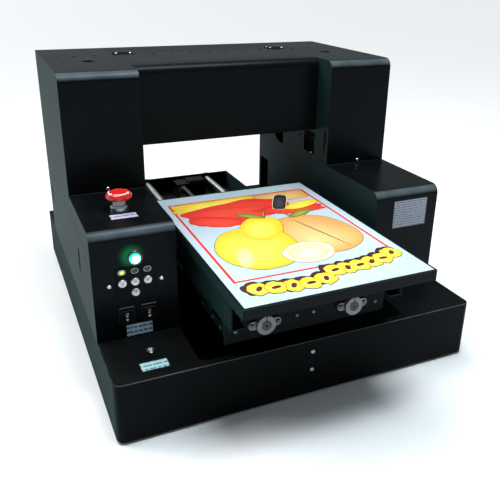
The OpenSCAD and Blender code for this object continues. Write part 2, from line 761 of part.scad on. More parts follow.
// two lift motors with the rear screw bearings, and the carriage motor with its idler bracket
module drive_motors() color("#33373a") machine() {
    for (x = lift_xs) {
        translate([x, lift_bar_y[0], 2.4]) motor(42, 40, 2.5, 4.8);
        difference() {
            post(x, lift_bar_y[1], 2.4, 45, 17);
            post(x, lift_bar_y[1], 29.7, 46, lift_r + 0.05);
        }
    }
    translate([x_motor_x, beam_y1, x_belt_z]) rotate([90, 0, 0]) motor(42, 40, 2.5, 14);
    slab(x_idler_x - 12, x_idler_x + 12, 524, 548, beam_z1, x_belt_z + 14);
    bar_y(x_idler_x, x_belt_z, 511, 524, 2.5);
}

// two lift belts in the base and the carriage belt in the bridge
module drive_belts() color("#1a1a1a") machine() {
    for (x = lift_xs)
        translate([x, lift_bar_y[0], 60]) rotate([0, 0, 90])
            linear_extrude(8) belt_loop(lift_bar_y[1] - lift_bar_y[0], 11.3, 1.4);
    translate([x_motor_x, x_belt_y0 + 8, x_belt_z]) rotate([90, 0, 0])
        linear_extrude(7) belt_loop(x_idler_x - x_motor_x, x_pulley_r + 0.3, 1.2);
}

// ---------- print carriage ----------

module beam_section() difference() {
    translate([beam_y0, beam_z0]) square([beam_y1 - beam_y0, beam_z1 - beam_z0]);
    translate([beam_y0 + 3, beam_z0 + 3]) square([beam_y1 - beam_y0 - 6, beam_z1 - beam_z0 - 6]);
}

module carriage_rail() color("#b9bdc0") machine() {
    along_x(24, body_w - 24) beam_section();
    slab(28, body_w - 28, beam_y0 - 12, beam_y0 - 0.01, rail_z0, rail_z1);
    both_sides() difference() {
        slab(18, 23.9, 480, 600, base_h, 445);
        bar_x(540, 200, 17, 25, 30);
        bar_x(540, 290, 17, 25, 30);
    }
}

module x_pulley(x) translate([x, x_belt_y0 + 10, x_belt_z]) rotate([90, 0, 0]) pulley(x_pulley_r, 11, 2.55);

module carriage_motor_pulley() color("#d7dadc") machine() x_pulley(x_motor_x);

module carriage_idler_pulley() color("#d7dadc") machine() x_pulley(x_idler_x);

module carriage_frame() color("#1f2427") machine() {
    difference() {
        union() {
            slab(car_x0, car_x0 + car_w, car_y0, car_y1 + 6, 343, 438);
            slab(car_x0 + 14, car_x0 + car_w - 14, car_y1 + 6, car_y1 + 24, rail_z0 - 8, rail_z1 + 8);
            slab(car_mid - 12, car_mid + 12, car_y1 - 2, x_belt_y0 + 8, 431, x_belt_z - 9.5);
        }
        slab(car_x0 + 2, car_x0 + car_w - 2, car_y0 + 2, car_y1 - 2, 345, 436);
        slab(car_x0 + 7.7, car_x0 + 52.3, 419.7, 470.3, 340, 350);
        slab(car_x0 + 56.7, car_x0 + 83.3, 409.7, 480.3, 340, 350);
        slab(car_x0, car_x0 + car_w, beam_y0 - 12.3, beam_y0 + 3, rail_z0 - 0.3, rail_z1 + 0.3);
    }
}

module print_head() color("#cfd3d6") machine() {
    slab(car_x0 + 8, car_x0 + 52, 420, 470, 342.6, 380);
    slab(car_x0 + 12, car_x0 + 48, 424, 466, head_z, 342.6);
    for (i = [0:2]) slab(car_x0 + 10, car_x0 + 50, 424 + i * 15, 434 + i * 15, 380.2, 412);
    slab(car_x0 + 57, car_x0 + 83, 410, 480, head_z + 1, 400);
}

module capping_station() color("#3b4044") machine() {
    slab(car_x0 + 8, car_x0 + 52, 418, 472, 312, 328);
    difference() {
        slab(car_x0 + 12, car_x0 + 48, 424, 466, 328, head_z - 0.5);
        slab(car_x0 + 15, car_x0 + 45, 427, 463, 330, head_z + 1);
    }
    slab(car_x0 + 8, car_x0 + 52, 418, 560, 304, 311.9);
    slab(car_x0 + 8, car_x0 + 52, 535, 560, 312, beam_z0);
}

module ink_tanks() color("#d9dde0") machine() for (i = [0:2], j = [0:1])
    translate([511 + i * 38, 165 + j * 62, base_h]) {
        linear_extrude(112) round_rect(35, 52, 5);
        translate([0, 0, 112.1]) cylinder(h = 14, r = 11);
    }

module power_supply() color("#aeb3b6") machine() difference() {
    slab(6, 80, 380, 560, 2.4, 48);
    for (i = [0:10]) slab(14 + i * 5.6, 16.5 + i * 5.6, 395, 545, 46, 49);
}

module circuit_boards() color("#1f5a3a") machine() {
    slab(6, 7.6, 310, 470, 260, 430);
    for (p = [[330, 290], [370, 290], [410, 290], [340, 350], [395, 350], [350, 400], [420, 400]])
        slab(7.6, 14, p[0], p[0] + 24, p[1], p[1] + 24);
    slab(34, 96, 126, 127.6, key_low_z - 8, led_z + 7);
}

// power inlet, data port, fan and its guard
module rear_fittings() color("#202426") machine() {
    difference() {
        union() {
            along_y(base_depth, base_depth + rear_trim) translate([inlet_x, inlet_z]) round_rect(48, 27, 3);
            slab(inlet_x - 15.5, inlet_x + 15.5, base_depth - 22, base_depth + 0.5,
                inlet_z - 11, inlet_z + 11);
        }
        slab(inlet_x - 12, inlet_x + 12, base_depth - 18, base_depth + 3, inlet_z - 8, inlet_z + 8);
    }
    for (p = [[-7, 1.5], [0, -2.5], [7, 1.5]])
        slab(inlet_x + p[0] - 1, inlet_x + p[0] + 1, base_depth - 18.5, base_depth - 4,
            inlet_z + p[1] - 2.5, inlet_z + p[1] + 2.5);
    difference() {
        slab(inlet_x + 41, inlet_x + 54, base_depth - 16, base_depth + 0.8, inlet_z - 6, inlet_z + 6);
        slab(inlet_x + 43, inlet_x + 52, base_depth - 10, base_depth + 3, inlet_z - 4.2, inlet_z + 4.2);
    }
    difference() {
        slab(fan_x - 30, fan_x + 30, 598, tower_back - sheet_t - 0.1, fan_z - 30, fan_z + 30);
        bar_y(fan_x, fan_z, 599.5, tower_back, 28);
        for (a = [45:90:315]) translate([fan_x, 597, fan_z]) rotate([0, a, 0]) linear_wedge();
    }
    for (r = [7:7:28]) translate([fan_x, tower_back + 2.2, fan_z]) rotate([90, 0, 0])
        rotate_extrude() translate([r, 0]) circle(0.9, $fn = 16);
}

// window between two struts of the fan frame
module linear_wedge() rotate([-90, 0, 0]) linear_extrude(4)
    polygon([[13, 0], [24, -11], [24, 11]]);

module fan_rotor() color("#17191b") machine() translate([fan_x, 612, fan_z]) rotate([90, 0, 0]) {
    cylinder(h = 11, r = 10);
    for (i = [0:6]) rotate([0, 0, i * 360 / 7]) translate([9, -1, 5.5]) rotate([38, 0, 0])
        translate([0, 0, -5]) cube([17.4, 1.2, 10]);
}

base_shell();
floor_plate();
feet();
well_liner();
left_tower();
right_tower();
bridge_cover();
top_lid();
lid_hinge_fixed();
lid_hinge_moving();
left_panel();
right_panel();
key_panel();
button_bezels();
status_lenses();
estop_stem();
estop_head();
power_button();
key_left();
key_middle();
key_right();
key_low();
switch_bezels();
front_rocker_left();
front_rocker_right();
shelf_rocker();
housing_screws();
tray();
table_plate();
print_board();
table_carrier();
bearing_blocks();
carrier_screws();
shaft_frame();
slide_shafts();
shaft_supports();
table_belt();
table_motor();
table_motor_pulley();
table_idler_pulley();
lift_bars();
lift_nuts();
lift_posts();
lift_screw_front_left();
lift_screw_front_right();
lift_screw_rear_left();
lift_screw_rear_right();
drive_motors();
drive_belts();
carriage_rail();
carriage_motor_pulley();
carriage_idler_pulley();
carriage_frame();
print_head();
capping_station();
ink_tanks();
power_supply();
circuit_boards();
rear_fittings();
fan_rotor();
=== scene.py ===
import json
import math
import bmesh
import bpy
from mathutils import Matrix, Vector
from mathutils.bvhtree import BVHTree

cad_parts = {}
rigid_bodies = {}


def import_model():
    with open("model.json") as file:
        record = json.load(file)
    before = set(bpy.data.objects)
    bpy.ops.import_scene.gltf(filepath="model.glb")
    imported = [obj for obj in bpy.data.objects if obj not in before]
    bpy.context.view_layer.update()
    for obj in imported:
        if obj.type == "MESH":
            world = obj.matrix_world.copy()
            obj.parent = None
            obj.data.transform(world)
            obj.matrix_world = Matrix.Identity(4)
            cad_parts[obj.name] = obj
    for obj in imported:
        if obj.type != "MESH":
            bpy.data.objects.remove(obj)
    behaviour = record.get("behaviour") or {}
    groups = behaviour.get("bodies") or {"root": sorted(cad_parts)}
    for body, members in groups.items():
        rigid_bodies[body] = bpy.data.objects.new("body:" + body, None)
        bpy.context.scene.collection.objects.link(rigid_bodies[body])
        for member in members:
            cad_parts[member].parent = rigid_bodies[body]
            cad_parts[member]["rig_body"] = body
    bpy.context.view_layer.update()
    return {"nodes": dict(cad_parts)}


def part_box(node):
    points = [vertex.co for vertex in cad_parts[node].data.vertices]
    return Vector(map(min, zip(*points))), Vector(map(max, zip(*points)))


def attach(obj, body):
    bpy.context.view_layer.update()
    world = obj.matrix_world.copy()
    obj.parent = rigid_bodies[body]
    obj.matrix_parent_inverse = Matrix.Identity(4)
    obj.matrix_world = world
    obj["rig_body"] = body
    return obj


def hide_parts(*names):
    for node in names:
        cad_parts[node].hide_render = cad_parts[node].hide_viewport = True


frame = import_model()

NODES = frame["nodes"]
MM = 0.001
BASE_LOW, BASE_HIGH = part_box("base_shell")
START_CENTRE = sum(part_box("power_button"), Vector()) / 2


def bench(x, y, z):
    """A point measured in millimetres from the base's lower front left corner."""
    return BASE_LOW + Vector((x, y, z)) * MM


# Millimetres on the bench: the front and the top of the control and ink boxes, and the top of the shelf.
BOX_FRONT, BOX_TOP, SHELF_TOP = 118, 277, 98


# ---------- camera, floor and lights ----------

CAMERA_SPOT = (-111.1, -718.1, 630.2)
CAMERA_TURN = (24.23, 21.9, 0.96)


def place_camera():
    """A short telephoto view from the front left, a little above the housing."""
    yaw, pitch, roll = (math.radians(angle) for angle in CAMERA_TURN)
    ahead = Vector((math.sin(yaw) * math.cos(pitch), math.cos(yaw) * math.cos(pitch), -math.sin(pitch)))
    level = Vector((math.cos(yaw), -math.sin(yaw), 0))
    over = level.cross(ahead)
    right = math.cos(roll) * level + math.sin(roll) * over
    top = -math.sin(roll) * level + math.cos(roll) * over
    lens = bpy.data.cameras.new("view")
    lens.sensor_width = 36
    lens.lens = 44.79
    lens.shift_x = -0.016
    lens.shift_y = -0.0596
    lens.clip_end = 100
    camera = bpy.data.objects.new("view", lens)
    turn = Matrix((right, top, -ahead)).transposed().to_4x4()
    camera.matrix_world = Matrix.Translation(bench(*CAMERA_SPOT)) @ turn
    bpy.context.scene.collection.objects.link(camera)
    bpy.context.scene.camera = camera


def soft_light(name, spot, aim, width, height, power, colour=(1, 1, 1)):
    """A rectangular softbox at spot, turned towards aim."""
    lamp = bpy.data.lights.new(name, "AREA")
    lamp.shape = "RECTANGLE"
    lamp.size, lamp.size_y = width, height
    lamp.energy = power
    lamp.color = colour
    box = bpy.data.objects.new(name, lamp)
    box.location = spot
    box.rotation_euler = (Vector(aim) - Vector(spot)).to_track_quat("-Z", "Y").to_euler()
    bpy.context.scene.collection.objects.link(box)


def light_studio():
    """Even room light, a broad soft sun, and a softbox overhead and at the left."""
    world = bpy.data.worlds.new("studio")
    world.use_nodes = True
    background = world.node_tree.nodes["Background"]
    background.inputs["Color"].default_value = (0.84, 0.95, 1.0, 1)
    background.inputs["Strength"].default_value = 0.26
    bpy.context.scene.world = world
    sun = bpy.data.lights.new("broad sun", "SUN")
    sun.energy = 3.3
    sun.angle = math.radians(50)
    sky = bpy.data.objects.new("broad sun", sun)
    sky.rotation_euler = (math.radians(-32), math.radians(-20), 0)
    bpy.context.scene.collection.objects.link(sky)
    soft_light("overhead softbox", (0.22, -0.4, 1.95), (0.1, -0.1, 0.3), 0.9, 0.45, 34, (0.86, 0.95, 1.0))
    soft_light("left softbox", (-1.7, 0.9, 1.1), (-0.3, 0.1, 0.3), 0.9, 0.9, 3.5, (0.80, 1.0, 0.97))
    bpy.context.scene.view_settings.view_transform = "Standard"


# ---------- node helpers ----------

def add(tree, kind, sockets=None, **fields):
    """One shader node, with values or links on its named sockets."""
    made = tree.nodes.new("ShaderNode" + kind)
    for field, value in fields.items():
        setattr(made, field, value)
    for socket, value in (sockets or {}).items():
        if isinstance(value, bpy.types.NodeSocket):
            tree.links.new(value, made.inputs[socket])
        else:
            made.inputs[socket].default_value = value
    return made


def calc(tree, operation, a, b=0.0, clamp=False):
    return add(tree, "Math", {0: a, 1: b}, operation=operation, use_clamp=clamp).outputs[0]


def scale(tree, value, factor, offset):
    """Value times factor, plus an offset that is a number or a socket."""
    return add(tree, "Math", {0: value, 1: factor, 2: offset}, operation="MULTIPLY_ADD").outputs[0]


def mix(tree, share, first, second):
    """Colour between first and second."""
    made = add(tree, "Mix", {0: share, 6: first, 7: second}, data_type="RGBA")
    return made.outputs[2]


def fade(tree, value, low, high):
    """0 below low and 1 above high, smooth between."""
    made = add(tree, "MapRange", {0: value, 1: low, 2: high}, interpolation_type="SMOOTHSTEP")
    return made.outputs[0]


def place(tree):
    """Coordinates on the piece itself, in metres."""
    return add(tree, "TexCoord").outputs["Object"]


def rgb(red, green, blue):
    return (red, green, blue, 1)


def group(name, inputs, outputs):
    """An empty node group with named sockets, its input node and its output node."""
    tree = bpy.data.node_groups.new(name, "ShaderNodeTree")
    for label, (kind, value) in inputs.items():
        socket = tree.interface.new_socket(label, in_out="INPUT", socket_type="NodeSocket" + kind)
        if value is not None:
            socket.default_value = value
    for label, kind in outputs.items():
        tree.interface.new_socket(label, in_out="OUTPUT", socket_type="NodeSocket" + kind)
    return tree, tree.nodes.new("NodeGroupInput").outputs, tree.nodes.new("NodeGroupOutput").inputs


def use(tree, shared, sockets=None):
    """A shared effect placed in a material."""
    made = tree.nodes.new("ShaderNodeGroup")
    made.node_tree = shared
    for socket, value in (sockets or {}).items():
        if isinstance(value, bpy.types.NodeSocket):
            tree.links.new(value, made.inputs[socket])
        else:
            made.inputs[socket].default_value = value
    return made.outputs


# ---------- shared effects ----------

def make_grain():
    """Fine skin of powder paint, moulded plastic or cast metal, with slow patches of tone."""
    tree, given, out = group("grain", {"Size": ("Float", 0.0006)}, {"Height": "Float", "Tone": "Float"})
    where = place(tree)
    density = calc(tree, "DIVIDE", 1.0, given["Size"])
    fine = add(tree, "TexNoise", {"Vector": where, "Scale": density, "Detail": 2.0, "Roughness": 0.6})
    coarse = calc(tree, "DIVIDE", density, 5.0)
    wide = add(tree, "TexNoise", {"Vector": where, "Scale": coarse, "Detail": 1.0})
    patch = add(tree, "TexNoise", {"Vector": where, "Scale": 9.0, "Detail": 4.0, "Roughness": 0.55})
    tree.links.new(scale(tree, wide.outputs[0], 1.6, fine.outputs[0]), out["Height"])
    tree.links.new(fade(tree, patch.outputs[0], 0.32, 0.68), out["Tone"])
    return tree


def make_edge_wear_and_sheen():
    """Paint rubbed thin along folded and cut edges, and a painted highlight along them: the piece's own
    strip value, broken up.
    """
    tree, given, out = group("edge wear and sheen", {"Breakup": ("Float", 60.0)}, {"Mask": "Float"})
    edge_strip = add(tree, "Attribute", attribute_name="edge_strip").outputs["Fac"]
    noise = add(tree, "TexNoise", {"Vector": place(tree), "Scale": given["Breakup"], "Detail": 5.0})
    edge_wear_and_sheen = fade(tree, noise.outputs[0], 0.42, 0.66)
    tree.links.new(calc(tree, "MULTIPLY", edge_strip, edge_wear_and_sheen, clamp=True), out["Mask"])
    return tree


def make_dust_and_top_light():
    """A thin settled film on surfaces that face up, which also stands as painted light on the tops."""
    tree, given, out = group("dust_and_top_light", {"Amount": ("Float", 0.1)}, {"Mask": "Float"})
    facing = add(tree, "SeparateXYZ", {0: add(tree, "NewGeometry").outputs["Normal"]}).outputs["Z"]
    cloud = add(tree, "TexNoise", {"Vector": place(tree), "Scale": 14.0, "Detail": 6.0, "Roughness": 0.62})
    specks = add(tree, "TexNoise", {"Vector": place(tree), "Scale": 700.0, "Detail": 1.0})
    film = calc(tree, "MULTIPLY", fade(tree, facing, 0.5, 1.0), fade(tree, cloud.outputs[0], 0.25, 0.8))
    grit = scale(tree, fade(tree, specks.outputs[0], 0.62, 0.75), 0.5, 0.6)
    mask = calc(tree, "MULTIPLY", calc(tree, "MULTIPLY", film, grit), given["Amount"], clamp=True)
    tree.links.new(mask, out["Mask"])
    return tree


def make_fold_highlight():
    """Painted highlight where sheet turns from its front face to its top: a paler, patchy colour along these
    folds.
    """
    tree, given, out = group("painted fold highlight", {"Softness": ("Float", 0.35)}, {"Mask": "Float"})
    facing = add(tree, "SeparateXYZ", {0: add(tree, "NewGeometry").outputs["Normal"]}).outputs
    both = calc(tree, "MULTIPLY", calc(tree, "MULTIPLY", facing["Y"], -2.0), facing["Z"])
    cloud = add(tree, "TexNoise", {"Vector": place(tree), "Scale": 22.0, "Detail": 3.0})
    soft = add(tree, "MapRange", {0: both, 2: 1.0}, interpolation_type="SMOOTHSTEP")
    tree.links.new(given["Softness"], soft.inputs[1])
    patchy = scale(tree, fade(tree, cloud.outputs[0], 0.3, 0.7), 0.4, 0.6)
    tree.links.new(calc(tree, "MULTIPLY", soft.outputs[0], patchy), out["Mask"])
    return tree


def make_brush():
    """Long fine lines left by drawing, turning or brushing metal."""
    inputs = {"Stretch": ("Vector", (40.0, 2500.0, 2500.0))}
    tree, given, out = group("drawn lines", inputs, {"Height": "Float", "Tone": "Float"})
    scaled = add(tree, "VectorMath", {0: place(tree), 1: given["Stretch"]}, operation="MULTIPLY").outputs[0]
    lines = add(tree, "TexNoise", {"Vector": scaled, "Scale": 1.0, "Detail": 3.0, "Roughness": 0.7})
    stain = add(tree, "TexNoise", {"Vector": place(tree), "Scale": 45.0, "Detail": 3.0})
    tree.links.new(lines.outputs[0], out["Height"])
    tree.links.new(fade(tree, stain.outputs[0], 0.3, 0.7), out["Tone"])
    return tree


def make_ruled():
    """Rows of short blank strokes, as on a filled-in form seen from afar."""
    inputs = {"Pitch": ("Float", 0.003), "Fill": ("Float", 0.5)}
    tree, given, out = group("ruled strokes", inputs, {"Mask": "Float"})
    spot = add(tree, "SeparateXYZ", {0: add(tree, "UVMap").outputs[0]}).outputs
    row = calc(tree, "DIVIDE", spot[1], given["Pitch"])
    half = calc(tree, "MULTIPLY", given["Fill"], 0.5)
    line = add(tree, "Math", {0: calc(tree, "FRACT", row), 1: 0.5, 2: half}, operation="COMPARE").outputs[0]
    seat = add(tree, "CombineXYZ", {0: calc(tree, "MULTIPLY", spot[0], 260.0), 1: calc(tree, "FLOOR", row)})
    words = add(tree, "TexNoise", {"Vector": seat.outputs[0], "Scale": 1.0, "Detail": 0.0}).outputs[0]
    tree.links.new(calc(tree, "MULTIPLY", line, fade(tree, words, 0.4, 0.46)), out["Mask"])
    return tree


GRAIN = make_grain()
EDGE_WEAR_AND_SHEEN = make_edge_wear_and_sheen()
DUST_AND_TOP_LIGHT = make_dust_and_top_light()
FOLD_HIGHLIGHT_MASK = make_fold_highlight()
BRUSH = make_brush()
RULED = make_ruled()


# ---------- finishes ----------

def blank(name):
    """A material with its Principled shader, ready to be wired."""
    material = bpy.data.materials.new(name)
    material.use_nodes = True
    return material, material.node_tree, material.node_tree.nodes["Principled BSDF"]


def relief(tree, shader, height, depth):
    """Fine relief of that depth, in metres, on the shader."""
    bump = add(tree, "Bump", {"Height": height, "Distance": depth, "Strength": 1.0})
    tree.links.new(bump.outputs[0], shader.inputs["Normal"])


# Colours of a painted side light on side sheets, a painted highlight on folds, and a settled film that is
# also painted light on the tops.
PAINTED_SIDE_LIGHT, PAINTED_FOLD_HIGHLIGHT, DUST_AND_TOP_LIGHT_TONE = rgb(0.010, 0.026, 0.026), rgb(0.072, 0.092, 0.102), rgb(0.42, 0.43, 0.42)
HALO_OFFSET, HALO_REACH, HALO_HEART = (-5, 0, 4), 25, 6


def start_halo(tree, shader):
    """Painted green glow: emission in the paint round the lit start button, standing for its light."""
    centre = START_CENTRE + Vector(HALO_OFFSET) * MM
    away = add(tree, "VectorMath", {0: place(tree), 1: centre}, operation="DISTANCE").outputs["Value"]
    near = calc(tree, "POWER", fade(tree, away, HALO_REACH * MM, HALO_HEART * MM), 1.8)
    tree.links.new(mix(tree, near, rgb(0, 0, 0), rgb(0.0, 0.16, 0.045)), shader.inputs["Emission Color"])
    shader.inputs["Emission Strength"].default_value = 1.0


def skin(name, colour, rough, size=0.0006, depth=0.00004, metallic=0.0, gloss=0.5, shade=0.75, dust_and_top_light=0.0,
         edge=None, coat=0.0, halo=False, bend=False, ior=1.5, tint=(1, 1, 1)):
    """Paint, moulded plastic, rubber or cast metal: a grained skin with patches, a settled film that is also
    painted light on tops, rubbed edges that are also a painted highlight, painted side light and painted
    highlights on folds, and a painted glow round the start button.
    """
    material, tree, shader = blank(name)
    grain = use(tree, GRAIN, {"Size": size})
    base = mix(tree, grain["Tone"], rgb(*(part * shade for part in colour)), rgb(*colour))
    # Edges: paint rubbed thin, which also serves as a painted edge highlight.
    if edge:
        edge_wear_and_sheen = use(tree, EDGE_WEAR_AND_SHEEN)["Mask"]
        base = mix(tree, edge_wear_and_sheen, base, rgb(*edge))
    # Painted light: a greenish painted side light on side sheets, and a paler painted highlight on folds
    # from front to top.
    if bend:
        side = add(tree, "SeparateXYZ", {0: add(tree, "NewGeometry").outputs["Normal"]}).outputs["X"]
        flank = fade(tree, calc(tree, "ABSOLUTE", side), 0.8, 0.95)
        base = mix(tree, flank, base, PAINTED_SIDE_LIGHT)
        base = mix(tree, use(tree, FOLD_HIGHLIGHT_MASK)["Mask"], base, PAINTED_FOLD_HIGHLIGHT)
    # A settled film on up-facing faces, which is also painted light on the tops.
    if dust_and_top_light:
        film = use(tree, DUST_AND_TOP_LIGHT, {"Amount": dust_and_top_light})["Mask"]
        base = mix(tree, film, base, DUST_AND_TOP_LIGHT_TONE)
        level = scale(tree, film, 0.4, rough)
    elif edge:
        level = scale(tree, edge_wear_and_sheen, -0.12, rough)
    else:
        level = scale(tree, grain["Tone"], -0.08, rough + 0.04)
    if bend:
        level = calc(tree, "ADD", level, calc(tree, "MULTIPLY", flank, 0.30), True)
    if halo:
        start_halo(tree, shader)
    tree.links.new(base, shader.inputs["Base Color"])
    tree.links.new(level, shader.inputs["Roughness"])
    shader.inputs["Metallic"].default_value = metallic
    shader.inputs["Specular IOR Level"].default_value = gloss
    shader.inputs["Coat Weight"].default_value = coat
    shader.inputs["IOR"].default_value = ior
    shader.inputs["Specular Tint"].default_value = rgb(*tint)
    relief(tree, shader, grain["Height"], depth)
    return material


def drawn(name, colour, rough, stretch=(40, 2500, 2500), edge=None):
    """Bare drawn, turned or brushed metal with lines along one direction."""
    material, tree, shader = blank(name)
    lines = use(tree, BRUSH, {"Stretch": stretch})
    base = mix(tree, lines["Tone"], rgb(*(part * 0.82 for part in colour)), rgb(*colour))
    if edge:
        base = mix(tree, use(tree, EDGE_WEAR_AND_SHEEN)["Mask"], base, rgb(*edge))
    tree.links.new(base, shader.inputs["Base Color"])
    tree.links.new(scale(tree, lines["Height"], 0.18, rough), shader.inputs["Roughness"])
    shader.inputs["Metallic"].default_value = 1.0
    relief(tree, shader, lines["Height"], 0.000006)
    return material


def lit(name, core, rim, centre, radius, strength):
    """A lens lit from behind: bright in the middle, deeper in colour at its rim."""
    material, tree, shader = blank(name)
    away = add(tree, "VectorMath", {0: place(tree), 1: centre}, operation="DISTANCE").outputs["Value"]
    spread = fade(tree, away, radius * 0.35, radius)
    ripple = use(tree, GRAIN, {"Size": 0.0015})
    colour = mix(tree, spread, rgb(*core), rgb(*rim))
    colour = mix(tree, calc(tree, "MULTIPLY", ripple["Tone"], 0.12), colour, rgb(*rim))
    tree.links.new(colour, shader.inputs["Base Color"])
    tree.links.new(colour, shader.inputs["Emission Color"])
    shader.inputs["Emission Strength"].default_value = strength
    shader.inputs["Roughness"].default_value = 0.25
    relief(tree, shader, ripple["Height"], 0.00001)
    return material


def white_board():
    """Satin white acrylic, with a bluish painted highlight on its cut edges."""
    material, tree, shader = blank("satin white board")
    grain = use(tree, GRAIN, {"Size": 0.0009})
    colour = mix(tree, grain["Tone"], rgb(0.45, 0.55, 0.60), rgb(0.50, 0.59, 0.64))
    facing = add(tree, "SeparateXYZ", {0: add(tree, "NewGeometry").outputs["Normal"]}).outputs["Z"]
    # Painted highlight: the cut edges are coloured bluish.
    colour = mix(tree, fade(tree, facing, 0.6, 0.9), rgb(0.36, 0.52, 0.60), colour)
    tree.links.new(colour, shader.inputs["Base Color"])
    shader.inputs["Roughness"].default_value = 0.3
    relief(tree, shader, grain["Height"], 0.00001)
    return material


def printed_ink():
    """Raised ink whose colour is laid down with the printed forms, with a fine droplet grain."""
    material, tree, shader = blank("raised printed ink")
    grain = use(tree, GRAIN, {"Size": 0.0005})
    laid = add(tree, "Attribute", attribute_name="tint").outputs["Color"]
    deep = mix(tree, 0.16, laid, rgb(0.05, 0.02, 0.01))
    tree.links.new(mix(tree, grain["Tone"], deep, laid), shader.inputs["Base Color"])
    tree.links.new(scale(tree, grain["Height"], 0.12, 0.26), shader.inputs["Roughness"])
    relief(tree, shader, grain["Height"], 0.00002)
    return material


def sticker_paper(name, paper, print_colour, pitch, fill):
    """Satin paper with rows of short strokes that say nothing."""
    material, tree, shader = blank(name)
    grain = use(tree, GRAIN, {"Size": 0.0004})
    strokes = use(tree, RULED, {"Pitch": pitch, "Fill": fill})["Mask"]
    base = mix(tree, grain["Tone"], rgb(*(part * 0.92 for part in paper)), rgb(*paper))
    tree.links.new(mix(tree, strokes, base, rgb(*print_colour)), shader.inputs["Base Color"])
    shader.inputs["Roughness"].default_value = 0.42
    relief(tree, shader, grain["Height"], 0.00001)
    return material


HINGES_X, HINGE_SCREW_REACH = (151, 476), 13.5


def hinge_metal():
    """Chrome hinges: their leaves dark as a painted dark reflection, their knuckles grey as a painted
    highlight, and their screw heads bright.
    """
    material, tree, shader = blank("hinge with painted dark reflection and bright screws")
    lines = use(tree, BRUSH, {"Stretch": (900, 900, 900)})
    spot = add(tree, "SeparateXYZ", {0: place(tree)}).outputs
    lid_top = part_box("top_lid")[1].z
    raised = fade(tree, spot[2], lid_top + 0.0016, lid_top + 0.0021)
    low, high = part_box("lid_hinge_moving")[1].y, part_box("lid_hinge_fixed")[0].y
    off = calc(tree, "ABSOLUTE", calc(tree, "SUBTRACT", spot[1], (low + high) / 2))
    gaps = [calc(tree, "ABSOLUTE", calc(tree, "SUBTRACT", spot[0], bench(x, 0, 0).x)) for x in HINGES_X]
    reach = calc(tree, "SUBTRACT", calc(tree, "MINIMUM", *gaps), HINGE_SCREW_REACH * MM)
    near = fade(tree, calc(tree, "ABSOLUTE", reach), 0.0034, 0.0028)
    leaf = fade(tree, off, 0.0028, 0.0034)
    screws = calc(tree, "MULTIPLY", calc(tree, "MULTIPLY", raised, near), leaf)
    knuckle = calc(tree, "MULTIPLY", raised, calc(tree, "SUBTRACT", 1.0, leaf))
    # Painted reflection: the leaves are dark for the chrome's dark reflection, and the knuckles grey as a
    # painted highlight.
    base = mix(tree, knuckle, rgb(0.006, 0.007, 0.008), rgb(0.05, 0.055, 0.058))
    base = mix(tree, screws, base, rgb(0.86, 0.87, 0.88))
    base = mix(tree, calc(tree, "MULTIPLY", lines["Tone"], 0.2), base, rgb(0.02, 0.022, 0.024))
    tree.links.new(base, shader.inputs["Base Color"])
    tree.links.new(screws, shader.inputs["Metallic"])
    tree.links.new(scale(tree, screws, -0.5, 0.75), shader.inputs["Roughness"])
    shader.inputs["IOR"].default_value = 1.12
    relief(tree, shader, lines["Height"], 0.000006)
    return material


def bezel_metal():
    """Turned metal: the collar on top is bright, the start button's ring in front is blackened."""
    material, tree, shader = blank("turned bezel metal")
    lines = use(tree, BRUSH, {"Stretch": (2500, 2500, 60)})
    height = add(tree, "SeparateXYZ", {0: place(tree)}).outputs[2]
    box_top = bench(0, 0, BOX_TOP).z
    bright = fade(tree, height, box_top - 0.002, box_top)
    base = mix(tree, bright, rgb(0.012, 0.013, 0.014), rgb(0.66, 0.69, 0.70))
    base = mix(tree, calc(tree, "MULTIPLY", lines["Tone"], 0.15), base, rgb(0.03, 0.03, 0.03))
    tree.links.new(base, shader.inputs["Base Color"])
    tree.links.new(bright, shader.inputs["Metallic"])
    shader.inputs["Roughness"].default_value = 0.28
    relief(tree, shader, lines["Height"], 0.000005)
    return material


def shaft_steel():
    """Ground shaft steel with blackened sawn ends."""
    material, tree, shader = blank("ground shaft steel")
    lines = use(tree, BRUSH, {"Stretch": (2500, 30, 2500)})
    facing = add(tree, "SeparateXYZ", {0: add(tree, "NewGeometry").outputs["Normal"]}).outputs["Y"]
    end = fade(tree, calc(tree, "ABSOLUTE", facing), 0.7, 0.9)
    base = mix(tree, lines["Tone"], rgb(0.62, 0.64, 0.65), rgb(0.76, 0.78, 0.79))
    tree.links.new(mix(tree, end, base, rgb(0.05, 0.052, 0.055)), shader.inputs["Base Color"])
    tree.links.new(scale(tree, lines["Height"], 0.18, 0.14), shader.inputs["Roughness"])
    shader.inputs["Metallic"].default_value = 1.0
    relief(tree, shader, lines["Height"], 0.000004)
    return material


def carrier_screw():
    """Screw steel, dark on the two screws at the front of the carrier and bright on the others."""
    material, tree, shader = blank("carrier screw steel")
    lines = use(tree, BRUSH, {"Stretch": (900, 900, 900)})
    along = add(tree, "SeparateXYZ", {0: place(tree)}).outputs[1]
    bright = fade(tree, along, bench(0, 7, 0).y, bench(0, 8, 0).y)
    base = mix(tree, bright, rgb(0.02, 0.021, 0.022), rgb(0.90, 0.91, 0.92))
    base = mix(tree, calc(tree, "MULTIPLY", lines["Tone"], 0.15), base, rgb(0.03, 0.03, 0.03))
    tree.links.new(base, shader.inputs["Base Color"])
    shader.inputs["Metallic"].default_value = 0.3
    shader.inputs["Roughness"].default_value = 0.26
    relief(tree, shader, lines["Height"], 0.000005)
    return material


